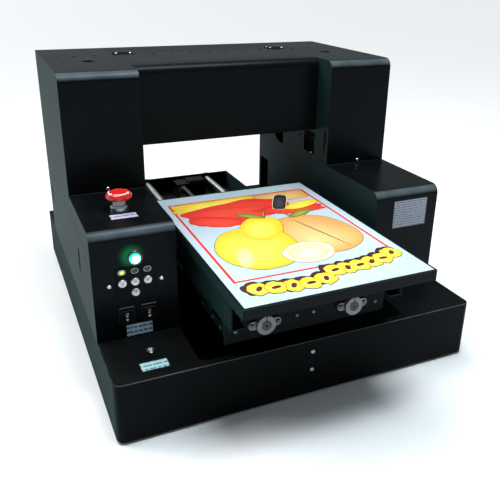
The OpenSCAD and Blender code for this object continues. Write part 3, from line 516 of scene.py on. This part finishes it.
def status_lens():
    """Three small lenses: the left one is lit yellow-green, the others are dark."""
    material, tree, shader = blank("status lens")
    low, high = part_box("status_lenses")
    first = Vector((low.x + 4 * MM, low.y, (low.z + high.z) / 2))
    away = add(tree, "VectorMath", {0: place(tree), 1: first}, operation="DISTANCE").outputs["Value"]
    on = calc(tree, "SUBTRACT", 1.0, fade(tree, away, 0.006, 0.0075))
    heart = calc(tree, "SUBTRACT", 1.0, fade(tree, away, 0.0005, 0.0035))
    ripple = use(tree, GRAIN, {"Size": 0.0015})
    shade = mix(tree, heart, rgb(0.28, 0.48, 0.03), rgb(0.80, 1.0, 0.22))
    shade = mix(tree, calc(tree, "MULTIPLY", ripple["Tone"], 0.15), shade, rgb(0.2, 0.4, 0.02))
    tree.links.new(mix(tree, on, rgb(0.012, 0.014, 0.014), shade), shader.inputs["Base Color"])
    tree.links.new(mix(tree, on, rgb(0, 0, 0), shade), shader.inputs["Emission Color"])
    shader.inputs["Emission Strength"].default_value = 0.9
    shader.inputs["Roughness"].default_value = 0.2
    relief(tree, shader, ripple["Height"], 0.00001)
    return material


# Black paint: its edge colour is partly rubbed paint and partly a painted highlight; it also turns on
# painted side light and painted highlights on folds.
BLACK_PAINT = dict(size=0.0007, depth=0.000014, shade=0.86, bend=True, edge=(0.022, 0.026, 0.028), ior=1.17,
                   tint=(0.74, 0.93, 1.0))
FINISHES = {
    "housing_paint": skin("fine black powder coat", (0.0022, 0.0030, 0.0036), 0.29, dust_and_top_light=0.01, halo=True,
                          **BLACK_PAINT),
    "well_paint": skin("matt black well paint", (0.0012, 0.0013, 0.0014), 0.5, dust_and_top_light=0.004,
                       **{**BLACK_PAINT, "ior": 1.08}),
    "lid_paint": skin("fine black lid paint", (0.0045, 0.0065, 0.0080), 0.34, dust_and_top_light=0.02, **BLACK_PAINT),
    "floor_steel": drawn("galvanised floor sheet", (0.32, 0.33, 0.34), 0.42),
    "foot_rubber": skin("foot rubber", (0.016, 0.016, 0.016), 0.75, 0.0009, 0.00008),
    "hinge_chrome": hinge_metal(),
    "panel_black": skin("satin key panel", (0.0022, 0.0028, 0.0034), 0.30, 0.0012, 0.000008, ior=1.15),
    "bezel_metal": bezel_metal(),
    "lens_glow": status_lens(),
    "stem_grey": skin("stop stem plastic", (0.66, 0.69, 0.70), 0.28, 0.0009, 0.00002),
    "stop_red": skin("glossy red stop plastic", (0.70, 0.018, 0.010), 0.20, 0.0014, 0.000015, coat=0.4),
    "key_silver": drawn("satin key cap", (0.66, 0.68, 0.69), 0.34, (2200, 60, 2200)),
    "switch_black": skin("gloss switch frame", (0.005, 0.005, 0.006), 0.28, 0.0008, 0.00001, gloss=0.14),
    "rocker_black": skin("satin rocker", (0.006, 0.006, 0.007), 0.30, 0.0008, 0.00001, gloss=0.16),
    "screw_steel": drawn("bright screw steel", (0.72, 0.73, 0.74), 0.22, (900, 900, 900)),
    "tray_paint": skin("tray powder coat", (0.0045, 0.0052, 0.0060), 0.32, dust_and_top_light=0.006, **BLACK_PAINT),
    "plate_aluminium": drawn("milled table plate", (0.66, 0.67, 0.68), 0.34),
    "carrier_paint": skin("carrier paint", (0.0045, 0.0050, 0.0054), 0.42, dust_and_top_light=0.012, **BLACK_PAINT),
    "block_aluminium": drawn("bearing block aluminium", (0.55, 0.56, 0.57), 0.36),
    "frame_paint": skin("shaft frame paint", (0.003, 0.0033, 0.0036), 0.46, dust_and_top_light=0.01, **BLACK_PAINT),
    "shaft_chrome": shaft_steel(),
    "support_aluminium": skin("cast flange aluminium", (0.20, 0.205, 0.21), 0.44, 0.0011, 0.00009, 0.8),
    "belt_rubber": skin("belt rubber", (0.017, 0.017, 0.018), 0.62, 0.0008, 0.00008),
    "motor_steel": drawn("motor bracket steel", (0.007, 0.0075, 0.008), 0.44, edge=(0.16, 0.17, 0.17)),
    "pulley_aluminium": drawn("pulley aluminium", (0.70, 0.71, 0.72), 0.28, (2500, 60, 2500)),
    "bar_paint": skin("lift bar paint", (0.008, 0.009, 0.010), 0.46, dust_and_top_light=0.02, **BLACK_PAINT),
    "nut_brass": drawn("lift nut brass", (0.66, 0.45, 0.17), 0.30, (900, 900, 90)),
    "motor_black": skin("black motor cases", (0.008, 0.0085, 0.009), 0.44, 0.001, 0.00006, 0.3),
    "rail_aluminium": drawn("extruded beam", (0.60, 0.61, 0.62), 0.36),
    "carriage_plastic": skin("carriage plastic", (0.022, 0.024, 0.026), 0.44, 0.0009, 0.00005),
    "head_steel": drawn("print head steel", (0.60, 0.61, 0.62), 0.26),
    "station_plastic": skin("capping station plastic", (0.045, 0.05, 0.055), 0.48, 0.0009, 0.00005),
    "tank_plastic": skin("translucent tank plastic", (0.66, 0.68, 0.70), 0.34, 0.0012, 0.00003),
    "supply_steel": drawn("zinc supply case", (0.50, 0.52, 0.53), 0.40),
    "board_green": skin("circuit board lacquer", (0.012, 0.075, 0.040), 0.34, 0.0008, 0.00004),
    "fitting_plastic": skin("rear fitting plastic", (0.018, 0.019, 0.020), 0.42, 0.0009, 0.00005),
    "fan_plastic": skin("fan plastic", (0.016, 0.017, 0.018), 0.40, 0.0009, 0.00005),
    "board_white": white_board(),
}
GLOW_CENTRE = Vector((START_CENTRE.x + 1.2 * MM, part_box("power_button")[0].y, START_CENTRE.z - 1.2 * MM))
FINISHES["power_glow"] = lit("start button glow", (0.90, 1.0, 0.95), (0.0, 0.78, 0.36), GLOW_CENTRE,
                             0.0092, 1.5)
BRIDGE_PAINT = skin("bridge powder coat", (0.0022, 0.0030, 0.0036), 0.34, dust_and_top_light=0.01,
                    **{**BLACK_PAINT, "bend": False})
BASE_PAINT = skin("base powder coat", (0.0026, 0.0030, 0.0032), 0.42, dust_and_top_light=0.01,
                  **{**BLACK_PAINT, "ior": 1.13})


SLOTS = {node: part.material_slots[0].name for node, part in NODES.items()}


def finish_nodes():
    """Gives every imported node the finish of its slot."""
    for node, part in NODES.items():
        part.material_slots[0].material = FINISHES[SLOTS[node]]
    NODES["carrier_screws"].material_slots[0].material = carrier_screw()


# ---------- mesh helpers ----------

def piece(name, body, shape, finish, stands_for=()):
    """An object from a finished bmesh, riding on its body."""
    mesh = bpy.data.meshes.new(name)
    shape.to_mesh(mesh)
    shape.free()
    made = bpy.data.objects.new(name, mesh)
    bpy.context.scene.collection.objects.link(made)
    for material in finish if isinstance(finish, (list, tuple)) else [finish]:
        mesh.materials.append(material)
    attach(made, body)
    if stands_for:
        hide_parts(*stands_for)
    return made


def sheared(edge, limit=math.radians(30)):
    """Whether two faces meet at this edge in a real corner."""
    return len(edge.link_faces) == 2 and edge.calc_face_angle(0) > limit


def roll_edges(shape, edges, width, steps):
    """Rounds the edges and marks the middle of each rounding for edge wear and a painted edge highlight."""
    edge_strip = shape.verts.layers.float.get("edge_strip") or shape.verts.layers.float.new("edge_strip")
    made = bmesh.ops.bevel(shape, geom=edges, offset=width, offset_type="OFFSET", segments=steps,
                           profile=0.5, affect="EDGES", clamp_overlap=False)
    strip = set(made["faces"])
    for vert in made["verts"]:
        if vert.is_valid and all(face in strip for face in vert.link_faces):
            vert[edge_strip] = 1.0


EDGE_WIDTH, RIM_WIDTH = 0.3, 1.7


def soften(node, rim=None):
    """A folded or cut part with rounded edges, rounder on its rim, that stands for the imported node."""
    source = NODES[node]
    shape = bmesh.new()
    shape.from_mesh(source.data)
    bmesh.ops.remove_doubles(shape, verts=shape.verts, dist=0.004 * MM)
    bmesh.ops.dissolve_limit(shape, angle_limit=math.radians(0.7), verts=shape.verts, edges=shape.edges)
    shape.verts.layers.float.new("edge_strip")
    if rim:
        folds = [edge for edge in shape.edges if sheared(edge) and all(rim(v.co) for v in edge.verts)]
        roll_edges(shape, folds, RIM_WIDTH * MM, 4)
    corners = [edge for edge in shape.edges if sheared(edge)]
    roll_edges(shape, corners, EDGE_WIDTH * MM, 2)
    for face in shape.faces:
        face.smooth = True
    slot = SLOTS[node]
    made = piece(node + "_skin", source["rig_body"], shape, FINISHES[slot], [node])
    made.modifiers.new("even shading", "WEIGHTED_NORMAL").weight = 80
    return made


def outline(width, height, radius, steps=5):
    """Corner points of a rounded rectangle, as (across, up) pairs about its centre."""
    points = []
    for corner, (sx, sy) in enumerate(((1, 1), (-1, 1), (-1, -1), (1, -1))):
        for step in range(steps + 1):
            angle = math.radians(90 * (corner + step / steps))
            points.append((sx * (width / 2 - radius) + radius * math.cos(angle),
                           sy * (height / 2 - radius) + radius * math.sin(angle)))
    return points


def ring(radius, steps=32, stretch=1.0):
    """Points of a circle or oval, as (across, up) pairs."""
    turns = [2 * math.pi * step / steps for step in range(steps)]
    return [(radius * stretch * math.cos(turn), radius * math.sin(turn)) for turn in turns]


def slab_on(shape, points, centre, across, up, thickness, hole=None):
    """Adds a thin printed or stuck-on slab: its outline stands on a face, and hole is cut out."""
    across, up = Vector(across).normalized(), Vector(up).normalized()
    out = across.cross(up)
    paper = shape.loops.layers.uv.get("UVMap") or shape.loops.layers.uv.new("UVMap")

    def loop(pairs, lift):
        return [shape.verts.new(centre + (across * x + up * y) * MM + out * lift * MM) for x, y in pairs]

    top, low = loop(points, thickness), loop(points, 0)
    count = len(points)
    faces = []
    if hole is None:
        faces.append(shape.faces.new(top))
    else:
        inner, floor = loop(hole, thickness), loop(hole, 0)
        for i in range(count):
            j = (i + 1) % count
            faces.append(shape.faces.new((top[i], top[j], inner[j], inner[i])))
            shape.faces.new((inner[i], inner[j], floor[j], floor[i]))
            shape.faces.new((low[j], low[i], floor[i], floor[j]))
    for i in range(count):
        j = (i + 1) % count
        shape.faces.new((low[i], low[j], top[j], top[i]))
    if hole is None:
        shape.faces.new(reversed(low))
    for face in faces:
        for corner in face.loops:
            away = corner.vert.co - centre
            corner[paper].uv = (away.dot(across) + 0.5, away.dot(up) + 0.5)


def settle(shape):
    """Turns every face outwards."""
    bmesh.ops.recalc_face_normals(shape, faces=shape.faces)


# ---------- housing ----------

def round_housing():
    """Rounded sheet edges on the shells, panels and frames that can be seen."""
    top = BASE_HIGH.z
    side, front = BASE_HIGH.x, BASE_LOW.y

    def base_rim(spot):
        corner = 13 * MM
        near = abs(spot.x) > side - 0.1 * MM or spot.y < front + 0.1 * MM
        near = near or (abs(spot.x) > side - corner and spot.y < front + corner)
        return near and spot.z > top - 0.1 * MM

    base = soften("base_shell", base_rim)
    base.material_slots[0].material = BASE_PAINT
    bridge = soften("bridge_cover")
    bridge.material_slots[0].material = BRIDGE_PAINT
    for node in ("well_liner", "left_tower", "right_tower", "top_lid", "left_panel", "right_panel",
                 "key_panel", "switch_bezels", "tray", "print_board", "table_plate", "table_carrier",
                 "shaft_frame", "table_motor", "lid_hinge_fixed", "lid_hinge_moving", "lift_bars",
                 "front_rocker_left", "front_rocker_right", "shelf_rocker"):
        soften(node)


# ---------- stickers and printed marks ----------

FRONT, TOP = ((1, 0, 0), (0, 0, 1)), ((1, 0, 0), (0, 1, 0))


def mark(shape, node, pairs, centre, plane, closed=False, lift=0.12):
    """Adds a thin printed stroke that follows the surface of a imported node, from pairs of edge points."""
    across, up = (Vector(part) for part in plane)
    out = across.cross(up)
    mesh = NODES[node].data
    skin_tree = BVHTree.FromPolygons([v.co for v in mesh.vertices], [p.vertices for p in mesh.polygons])
    rows = []
    for pair in pairs:
        row = []
        for x, y in pair:
            start = centre + (across * x + up * y) * MM + out * 40 * MM
            spot = skin_tree.ray_cast(start, -out)[0]
            row += [shape.verts.new(spot + out * lift * MM), shape.verts.new(spot - out * 0.05 * MM)]
        rows.append(row)
    for i in range(len(rows) if closed else len(rows) - 1):
        (a, al, b, bl), (c, cl, d, dl) = rows[i], rows[(i + 1) % len(rows)]
        for face in ((a, b, d, c), (al, cl, dl, bl), (a, c, cl, al), (b, bl, dl, d)):
            shape.faces.new(face)
    if not closed:
        (a, al, b, bl), (c, cl, d, dl) = rows[0], rows[-1]
        shape.faces.new((a, al, bl, b))
        shape.faces.new((c, d, dl, cl))


def bar(x, y, width, height):
    """Edge pairs of an upright stroke."""
    return [((x - width / 2, y - height / 2), (x + width / 2, y - height / 2)),
            ((x - width / 2, y + height / 2), (x + width / 2, y + height / 2))]


def wedge(x, y, width, height):
    """Edge pairs of a small triangle; a negative height points it down."""
    return [((x - width / 2, y), (x + width / 2, y)), ((x - 0.08, y + height), (x + 0.08, y + height))]


def hoop(radius, width, steps=24):
    """Edge pairs of a ring."""
    return list(zip(ring(radius + width, steps), ring(radius, steps)))


def curved_arrow(radius, start, sweep, width, head):
    """Edge pairs of an arrow that runs along an arc and ends in a point."""
    pairs = []
    for step in range(15):
        share = step / 14
        half = width / 2 if share < 0.66 else head / 2 * (1 - share) / 0.34 + 0.06
        angle = math.radians(start + sweep * share)
        reaches = (radius + half, radius - half)
        pairs.append([(reach * math.cos(angle), reach * math.sin(angle)) for reach in reaches])
    return pairs


# Middles of the stop head, front rockers, shelf rocker, lenses and keys, in millimetres on the bench.
STOP_X, STOP_Y = 65, 205
ROCKERS_X, ROCKER_Z = (48, 82.6), 137
SHELF_ROCKER_X, SHELF_ROCKER_Y = 69.2, 64
LENS_X, LENS_Z, LENS_PITCH = 64, 210.3, 19.4
KEY_ROW_Z, KEY_LOW_Z = 192.5, 174.8


def printed_marks():
    """Strokes in white on the stop head and rockers, grey on the keys and pale round the lenses; grey lines
    above the rockers are painted highlights on the frames' top edges.
    """
    white = skin("white screen print", (0.90, 0.92, 0.93), 0.42, 0.0004, 0.00001)
    pale = skin("pale screen print", (0.80, 0.82, 0.82), 0.42, 0.0004, 0.00001)
    grey = skin("grey screen print", (0.24, 0.25, 0.255), 0.42, 0.0004, 0.00001)
    head = bmesh.new()
    for turn in (20, 140, 260):
        mark(head, "estop_head", curved_arrow(15.4, turn, 84, 1.5, 5.2), bench(STOP_X, STOP_Y, BOX_TOP), TOP)
    settle(head)
    piece("stop_arrows", NODES["estop_head"]["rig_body"], head, white)
    for node, x, z, strokes in (
            ("key_left", LENS_X - LENS_PITCH, KEY_ROW_Z, [wedge(0, -1.6, 4, 3.4)]),
            ("key_middle", LENS_X, KEY_ROW_Z, [bar(0, 0, 4.4, 0.9)]),
            ("key_right", LENS_X + LENS_PITCH, KEY_ROW_Z, [wedge(0, 1.6, 4, -3.4)]),
            ("key_low", LENS_X, KEY_LOW_Z, [bar(0, 0, 0.9, 4.4), bar(0, 2.6, 2.4, 0.6)])):
        shape = bmesh.new()
        for stroke in strokes:
            mark(shape, node, stroke, bench(x, BOX_FRONT, z), FRONT)
        settle(shape)
        piece(node + "_mark", NODES[node]["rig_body"], shape, grey)
    for node, x in zip(("front_rocker_left", "front_rocker_right"), ROCKERS_X):
        shape = bmesh.new()
        mark(shape, node, hoop(1.7, 0.6), bench(x, BOX_FRONT, ROCKER_Z + 3.6), FRONT, True)
        mark(shape, node, hoop(0.9, 0.6), bench(x, BOX_FRONT, ROCKER_Z - 1.2), FRONT, True)
        mark(shape, node, wedge(0, 1, 4.6, -3.2), bench(x, BOX_FRONT, ROCKER_Z - 6.6), FRONT)
        settle(shape)
        piece(node + "_mark", NODES[node]["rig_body"], shape, white)
    shelf = bmesh.new()
    spot = bench(SHELF_ROCKER_X, SHELF_ROCKER_Y, SHELF_TOP)
    mark(shelf, "shelf_rocker", hoop(1.5, 0.8), spot + Vector((0, 3, 0)) * MM, TOP, True)
    mark(shelf, "shelf_rocker", bar(0, 0, 3.4, 3.6), spot - Vector((0, 3, 0)) * MM, TOP)
    settle(shelf)
    piece("shelf_rocker_mark", NODES["shelf_rocker"]["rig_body"], shelf, white)
    # Painted highlights: grey lines for the light on the top edges of the rocker frames.
    lines = bmesh.new()
    for x in ROCKERS_X:
        slab_on(lines, outline(22, 0.7, 0.3, 2), bench(x, BOX_FRONT - 2, ROCKER_Z + 14.4), *FRONT, 0.1)
    settle(lines)
    piece("rocker_frame_highlights", NODES["switch_bezels"]["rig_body"], lines, grey)
    rings = bmesh.new()
    for side in (-1, 0, 1):
        spot = bench(LENS_X + side * LENS_PITCH, BOX_FRONT - 0.8, LENS_Z)
        slab_on(rings, outline(11.4, 8.6, 4.2), spot, *FRONT, 0.1, outline(10, 7.3, 3.5))
    settle(rings)
    piece("lens_outlines", NODES["key_panel"]["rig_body"], rings, pale)


def stickers():
    """Blank-looking stickers: ruled rows of short strokes that say nothing."""
    sheets = (
        ("sticker_box_top", "lilac sticker paper", (0.42, 0.42, 0.52), (0.14, 0.14, 0.20),
         0.011, 0.34, (41, 20), bench(64.9, 175, BOX_TOP), TOP),
        ("sticker_box_front", "blue-grey sticker paper", (0.46, 0.58, 0.70), (0.06, 0.08, 0.12),
         0.0077, 0.40, (40.8, 19.8), bench(66.4, BOX_FRONT, 109.4), FRONT),
        ("sticker_shelf", "pale blue sticker paper", (0.33, 0.52, 0.54), (0.08, 0.14, 0.16),
         0.0092, 0.36, (40.3, 20.1), bench(66.1, 31.6, SHELF_TOP), TOP),
        ("sticker_ink_box", "ruled sticker paper", (0.30, 0.35, 0.42), (0.13, 0.15, 0.18),
         0.0046, 0.42, (70, 50.5), bench(562.5, BOX_FRONT, 231.7), FRONT),
    )
    for name, label, paper, print_colour, pitch, fill, size, centre, plane in sheets:
        shape = bmesh.new()
        slab_on(shape, outline(*size, 0.8, 3), centre, *plane, 0.12)
        settle(shape)
        piece(name, NODES["left_tower"]["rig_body"], shape,
              sticker_paper(label, paper, print_colour, pitch, fill))


# ---------- printed board ----------

YELLOW, PALE_YELLOW, ORANGE = (0.95, 0.56, 0.015), (1.0, 0.80, 0.12), (0.88, 0.33, 0.04)
TAN, PALE_TAN, BROWN = (0.72, 0.33, 0.08), (0.88, 0.58, 0.24), (0.10, 0.035, 0.012)
RED, BRIGHT_RED, DEEP_RED = (0.76, 0.028, 0.02), (0.95, 0.07, 0.035), (0.36, 0.008, 0.008)
CREAM, WHITE = (0.90, 0.80, 0.58), (0.97, 0.93, 0.82)
INK, WINE = (0.010, 0.008, 0.010), (0.13, 0.012, 0.02)
OLIVE, LEAF = (0.16, 0.20, 0.02), (0.34, 0.40, 0.05)
# Forms of the still life, from the lowest layer up, in millimetres from the board's front left corner:
# centre, half sizes, turn in degrees, squareness, edge wobble, outline width, rim, lit and outline colours.
STILL_LIFE = [
    ((97, 366), (82, 23), 1, 7, 0.02, 0.6, YELLOW, PALE_YELLOW, BROWN),
    ((228, 366), (52, 23), 0, 7, 0, 0.6, TAN, PALE_TAN, BROWN),
    ((121, 324), (98, 44), 7, 2.8, 0.06, 0.8, RED, BRIGHT_RED, DEEP_RED),
    ((72, 288), (48, 22), -24, 2.2, 0.08, 0.8, RED, BRIGHT_RED, DEEP_RED),
    ((218, 300), (62, 22), -8, 2.2, 0.06, 0.8, RED, BRIGHT_RED, DEEP_RED),
    ((140, 338), (58, 0.5), -12, 2, 0, 0.1, DEEP_RED, DEEP_RED, DEEP_RED),
    ((84, 300), (34, 0.5), -30, 2, 0, 0.1, DEEP_RED, DEEP_RED, DEEP_RED),
    ((170, 318), (40, 0.5), 8, 2, 0, 0.1, DEEP_RED, DEEP_RED, DEEP_RED),
    ((206, 186), (68, 80), 14, 2.15, 0.008, 0.9, TAN, PALE_TAN, BROWN),
    ((214, 184), (1.1, 72), 16, 2, 0, 0.2, BROWN, BROWN, BROWN),
    ((196, 276), (2, 18), 20, 3, 0, 0.6, BROWN, TAN, BROWN),
    ((222, 274), (30, 10), 24, 1.5, 0.02, 0.9, OLIVE, LEAF, BROWN),
    ((130, 236), (36, 52), -26, 2.1, 0.01, 0.9, YELLOW, PALE_YELLOW, BROWN),
    ((92, 168), (66, 78), -10, 2.1, 0.008, 0.9, YELLOW, PALE_YELLOW, BROWN),
    ((127, 232), (33, 48), -26, 2.1, 0.01, 0.1, YELLOW, PALE_YELLOW, YELLOW),
    ((60, 140), (15, 36), -18, 2, 0, 0.1, PALE_YELLOW, (1.0, 0.93, 0.42), PALE_YELLOW),
    ((158, 292), (2.2, 20), -24, 3, 0, 0.6, BROWN, TAN, BROWN),
    ((132, 292), (28, 9), -38, 1.5, 0.02, 0.9, OLIVE, LEAF, BROWN),
    ((158, 122), (43, 34), 10, 2, 0.01, 1.2, CREAM, WHITE, ORANGE),
    ((158, 122), (34, 26), 10, 2, 0, 0.6, (0.95, 0.72, 0.28), CREAM, YELLOW),
    ((158, 122), (0.9, 25), 68, 2, 0, 0.2, WHITE, WHITE, WHITE),
    ((158, 122), (0.9, 25), 10, 2, 0, 0.2, WHITE, WHITE, WHITE),
    ((158, 122), (0.9, 25), -52, 2, 0, 0.2, WHITE, WHITE, WHITE),
    ((212, 338), (12, 38), -28, 5, 0, 1.2, INK, (0.06, 0.06, 0.08), (0.9, 0.68, 0.45)),
    ((244, 312), (38, 15), 16, 2, 0.02, 0.8, YELLOW, PALE_YELLOW, BROWN),
]
PETALS = [(274, 72, 25), (251, 60, -35), (228, 56, 20), (206, 53, -20), (184, 52, 40), (163, 52, -15),
          (138, 34, 30), (112, 30, -30), (86, 32, 25), (61, 36, -25), (37, 40, 20)]
LAYER = 0.012
FRAME_MIDDLE, FRAME_SIZE, FRAME_LINE = (148.5, 230.5), (273, 325), 4.2


def form_points(centre, half, turn, square, wobble, grow=0.0):
    """Outline of one printed form: a superellipse with a gentle wobble."""
    angle, points = math.radians(turn), []
    for step in range(64):
        sweep = 2 * math.pi * step / 64
        c, s = math.cos(sweep), math.sin(sweep)
        reach = (abs(c) ** square + abs(s) ** square) ** (-1 / square)
        reach *= 1 + wobble * (math.sin(5 * sweep + centre[0]) + 0.6 * math.sin(9 * sweep + centre[1]))
        x, y = c * reach * (half[0] + grow), s * reach * (half[1] + grow)
        points.append((centre[0] + x * math.cos(angle) - y * math.sin(angle),
                       centre[1] + x * math.sin(angle) + y * math.cos(angle)))
    return points


def lay_ink(shape, corner, layer, points, rim, core):
    """One flat form of ink on the board, its colour running from core to rim."""
    tint = shape.verts.layers.float_color.get("tint") or shape.verts.layers.float_color.new("tint")
    middle = [sum(part) / len(points) for part in zip(*points)]
    spread = min(math.hypot(x - middle[0], y - middle[1]) for x, y in points)
    light = (middle[0] - 0.3 * spread, middle[1] - 0.35 * spread)

    def vert(x, y, share):
        made = shape.verts.new(corner + Vector((x, y, layer * LAYER)) * MM)
        made[tint] = (*(a + (b - a) * share for a, b in zip(core, rim)), 1)
        return made

    centre = vert(*light, 0)
    rings = []
    for reach, share in ((0.5, 0.35), (0.86, 0.8), (1.0, 1.0)):
        rings.append([vert(light[0] + (x - light[0]) * reach, light[1] + (y - light[1]) * reach, share)
                      for x, y in points])
    count = len(points)
    for i in range(count):
        j = (i + 1) % count
        shape.faces.new((centre, rings[0][i], rings[0][j]))
        for inner, outer in zip(rings, rings[1:]):
            shape.faces.new((inner[i], outer[i], outer[j], inner[j]))


def band(shape, corner, middle, size, width, colour, layer):
    """A thin printed rectangle line."""
    tint = shape.verts.layers.float_color.get("tint") or shape.verts.layers.float_color.new("tint")
    loops = []
    for inset in (0, width):
        pairs = outline(size[0] - 2 * inset, size[1] - 2 * inset, 0.6, 2)
        loops.append([shape.verts.new(corner + Vector((middle[0] + x, middle[1] + y, layer * LAYER)) * MM)
                      for x, y in pairs])
    for vert in loops[0] + loops[1]:
        vert[tint] = (*colour, 1)
    count = len(loops[0])
    for i in range(count):
        j = (i + 1) % count
        shape.faces.new((loops[0][i], loops[0][j], loops[1][j], loops[1][i]))


def print_picture():
    """A printed still life of fruit on a red cloth, with a row of petals at the front."""
    low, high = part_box("print_board")
    corner = Vector((low.x, low.y, high.z))
    shape = bmesh.new()
    layer = 1
    band(shape, corner, FRAME_MIDDLE, FRAME_SIZE, FRAME_LINE, RED, layer)
    for centre, half, turn, square, wobble, line, rim, core, edge in STILL_LIFE:
        layer += 1
        lay_ink(shape, corner, layer, form_points(centre, half, turn, square, wobble, line), edge, edge)
        layer += 1
        lay_ink(shape, corner, layer, form_points(centre, half, turn, square, wobble), rim, core)
    for x, y, turn in PETALS:
        shadow = form_points((x - 4, y + 4), (17, 17), turn, 2.6, 0.05, 1)
        lay_ink(shape, corner, layer + 1, shadow, INK, WINE)
    for step, (x, y, turn) in enumerate(PETALS):
        lift = layer + 2 + 4 * (step % 2)
        lay_ink(shape, corner, lift, form_points((x, y), (15, 16), turn, 2.6, 0.04, 0.9), WINE, WINE)
        lay_ink(shape, corner, lift + 1, form_points((x, y), (15, 16), turn, 2.6, 0.04),
                (0.93, 0.66, 0.01), (1.0, 0.90, 0.12))
        lay_ink(shape, corner, lift + 2, form_points((x + 1, y), (7.5, 4), turn + 35, 2.2, 0), INK, WINE)
    piece("board_print", "table", shape, printed_ink())


def lay_floor():
    """The pale ground that the machine stands on."""
    floor = bmesh.new()
    bmesh.ops.create_grid(floor, x_segments=8, y_segments=8, size=30)
    mesh = bpy.data.meshes.new("floor")
    floor.to_mesh(mesh)
    floor.free()
    ground = bpy.data.objects.new("floor", mesh)
    mesh.materials.append(skin("pale floor", (0.86, 0.865, 0.87), 0.6, 0.004, 0.00002, shade=0.985))
    bpy.context.scene.collection.objects.link(ground)


def main():
    place_camera()
    light_studio()
    finish_nodes()
    round_housing()
    printed_marks()
    stickers()
    print_picture()
    lay_floor()


main()
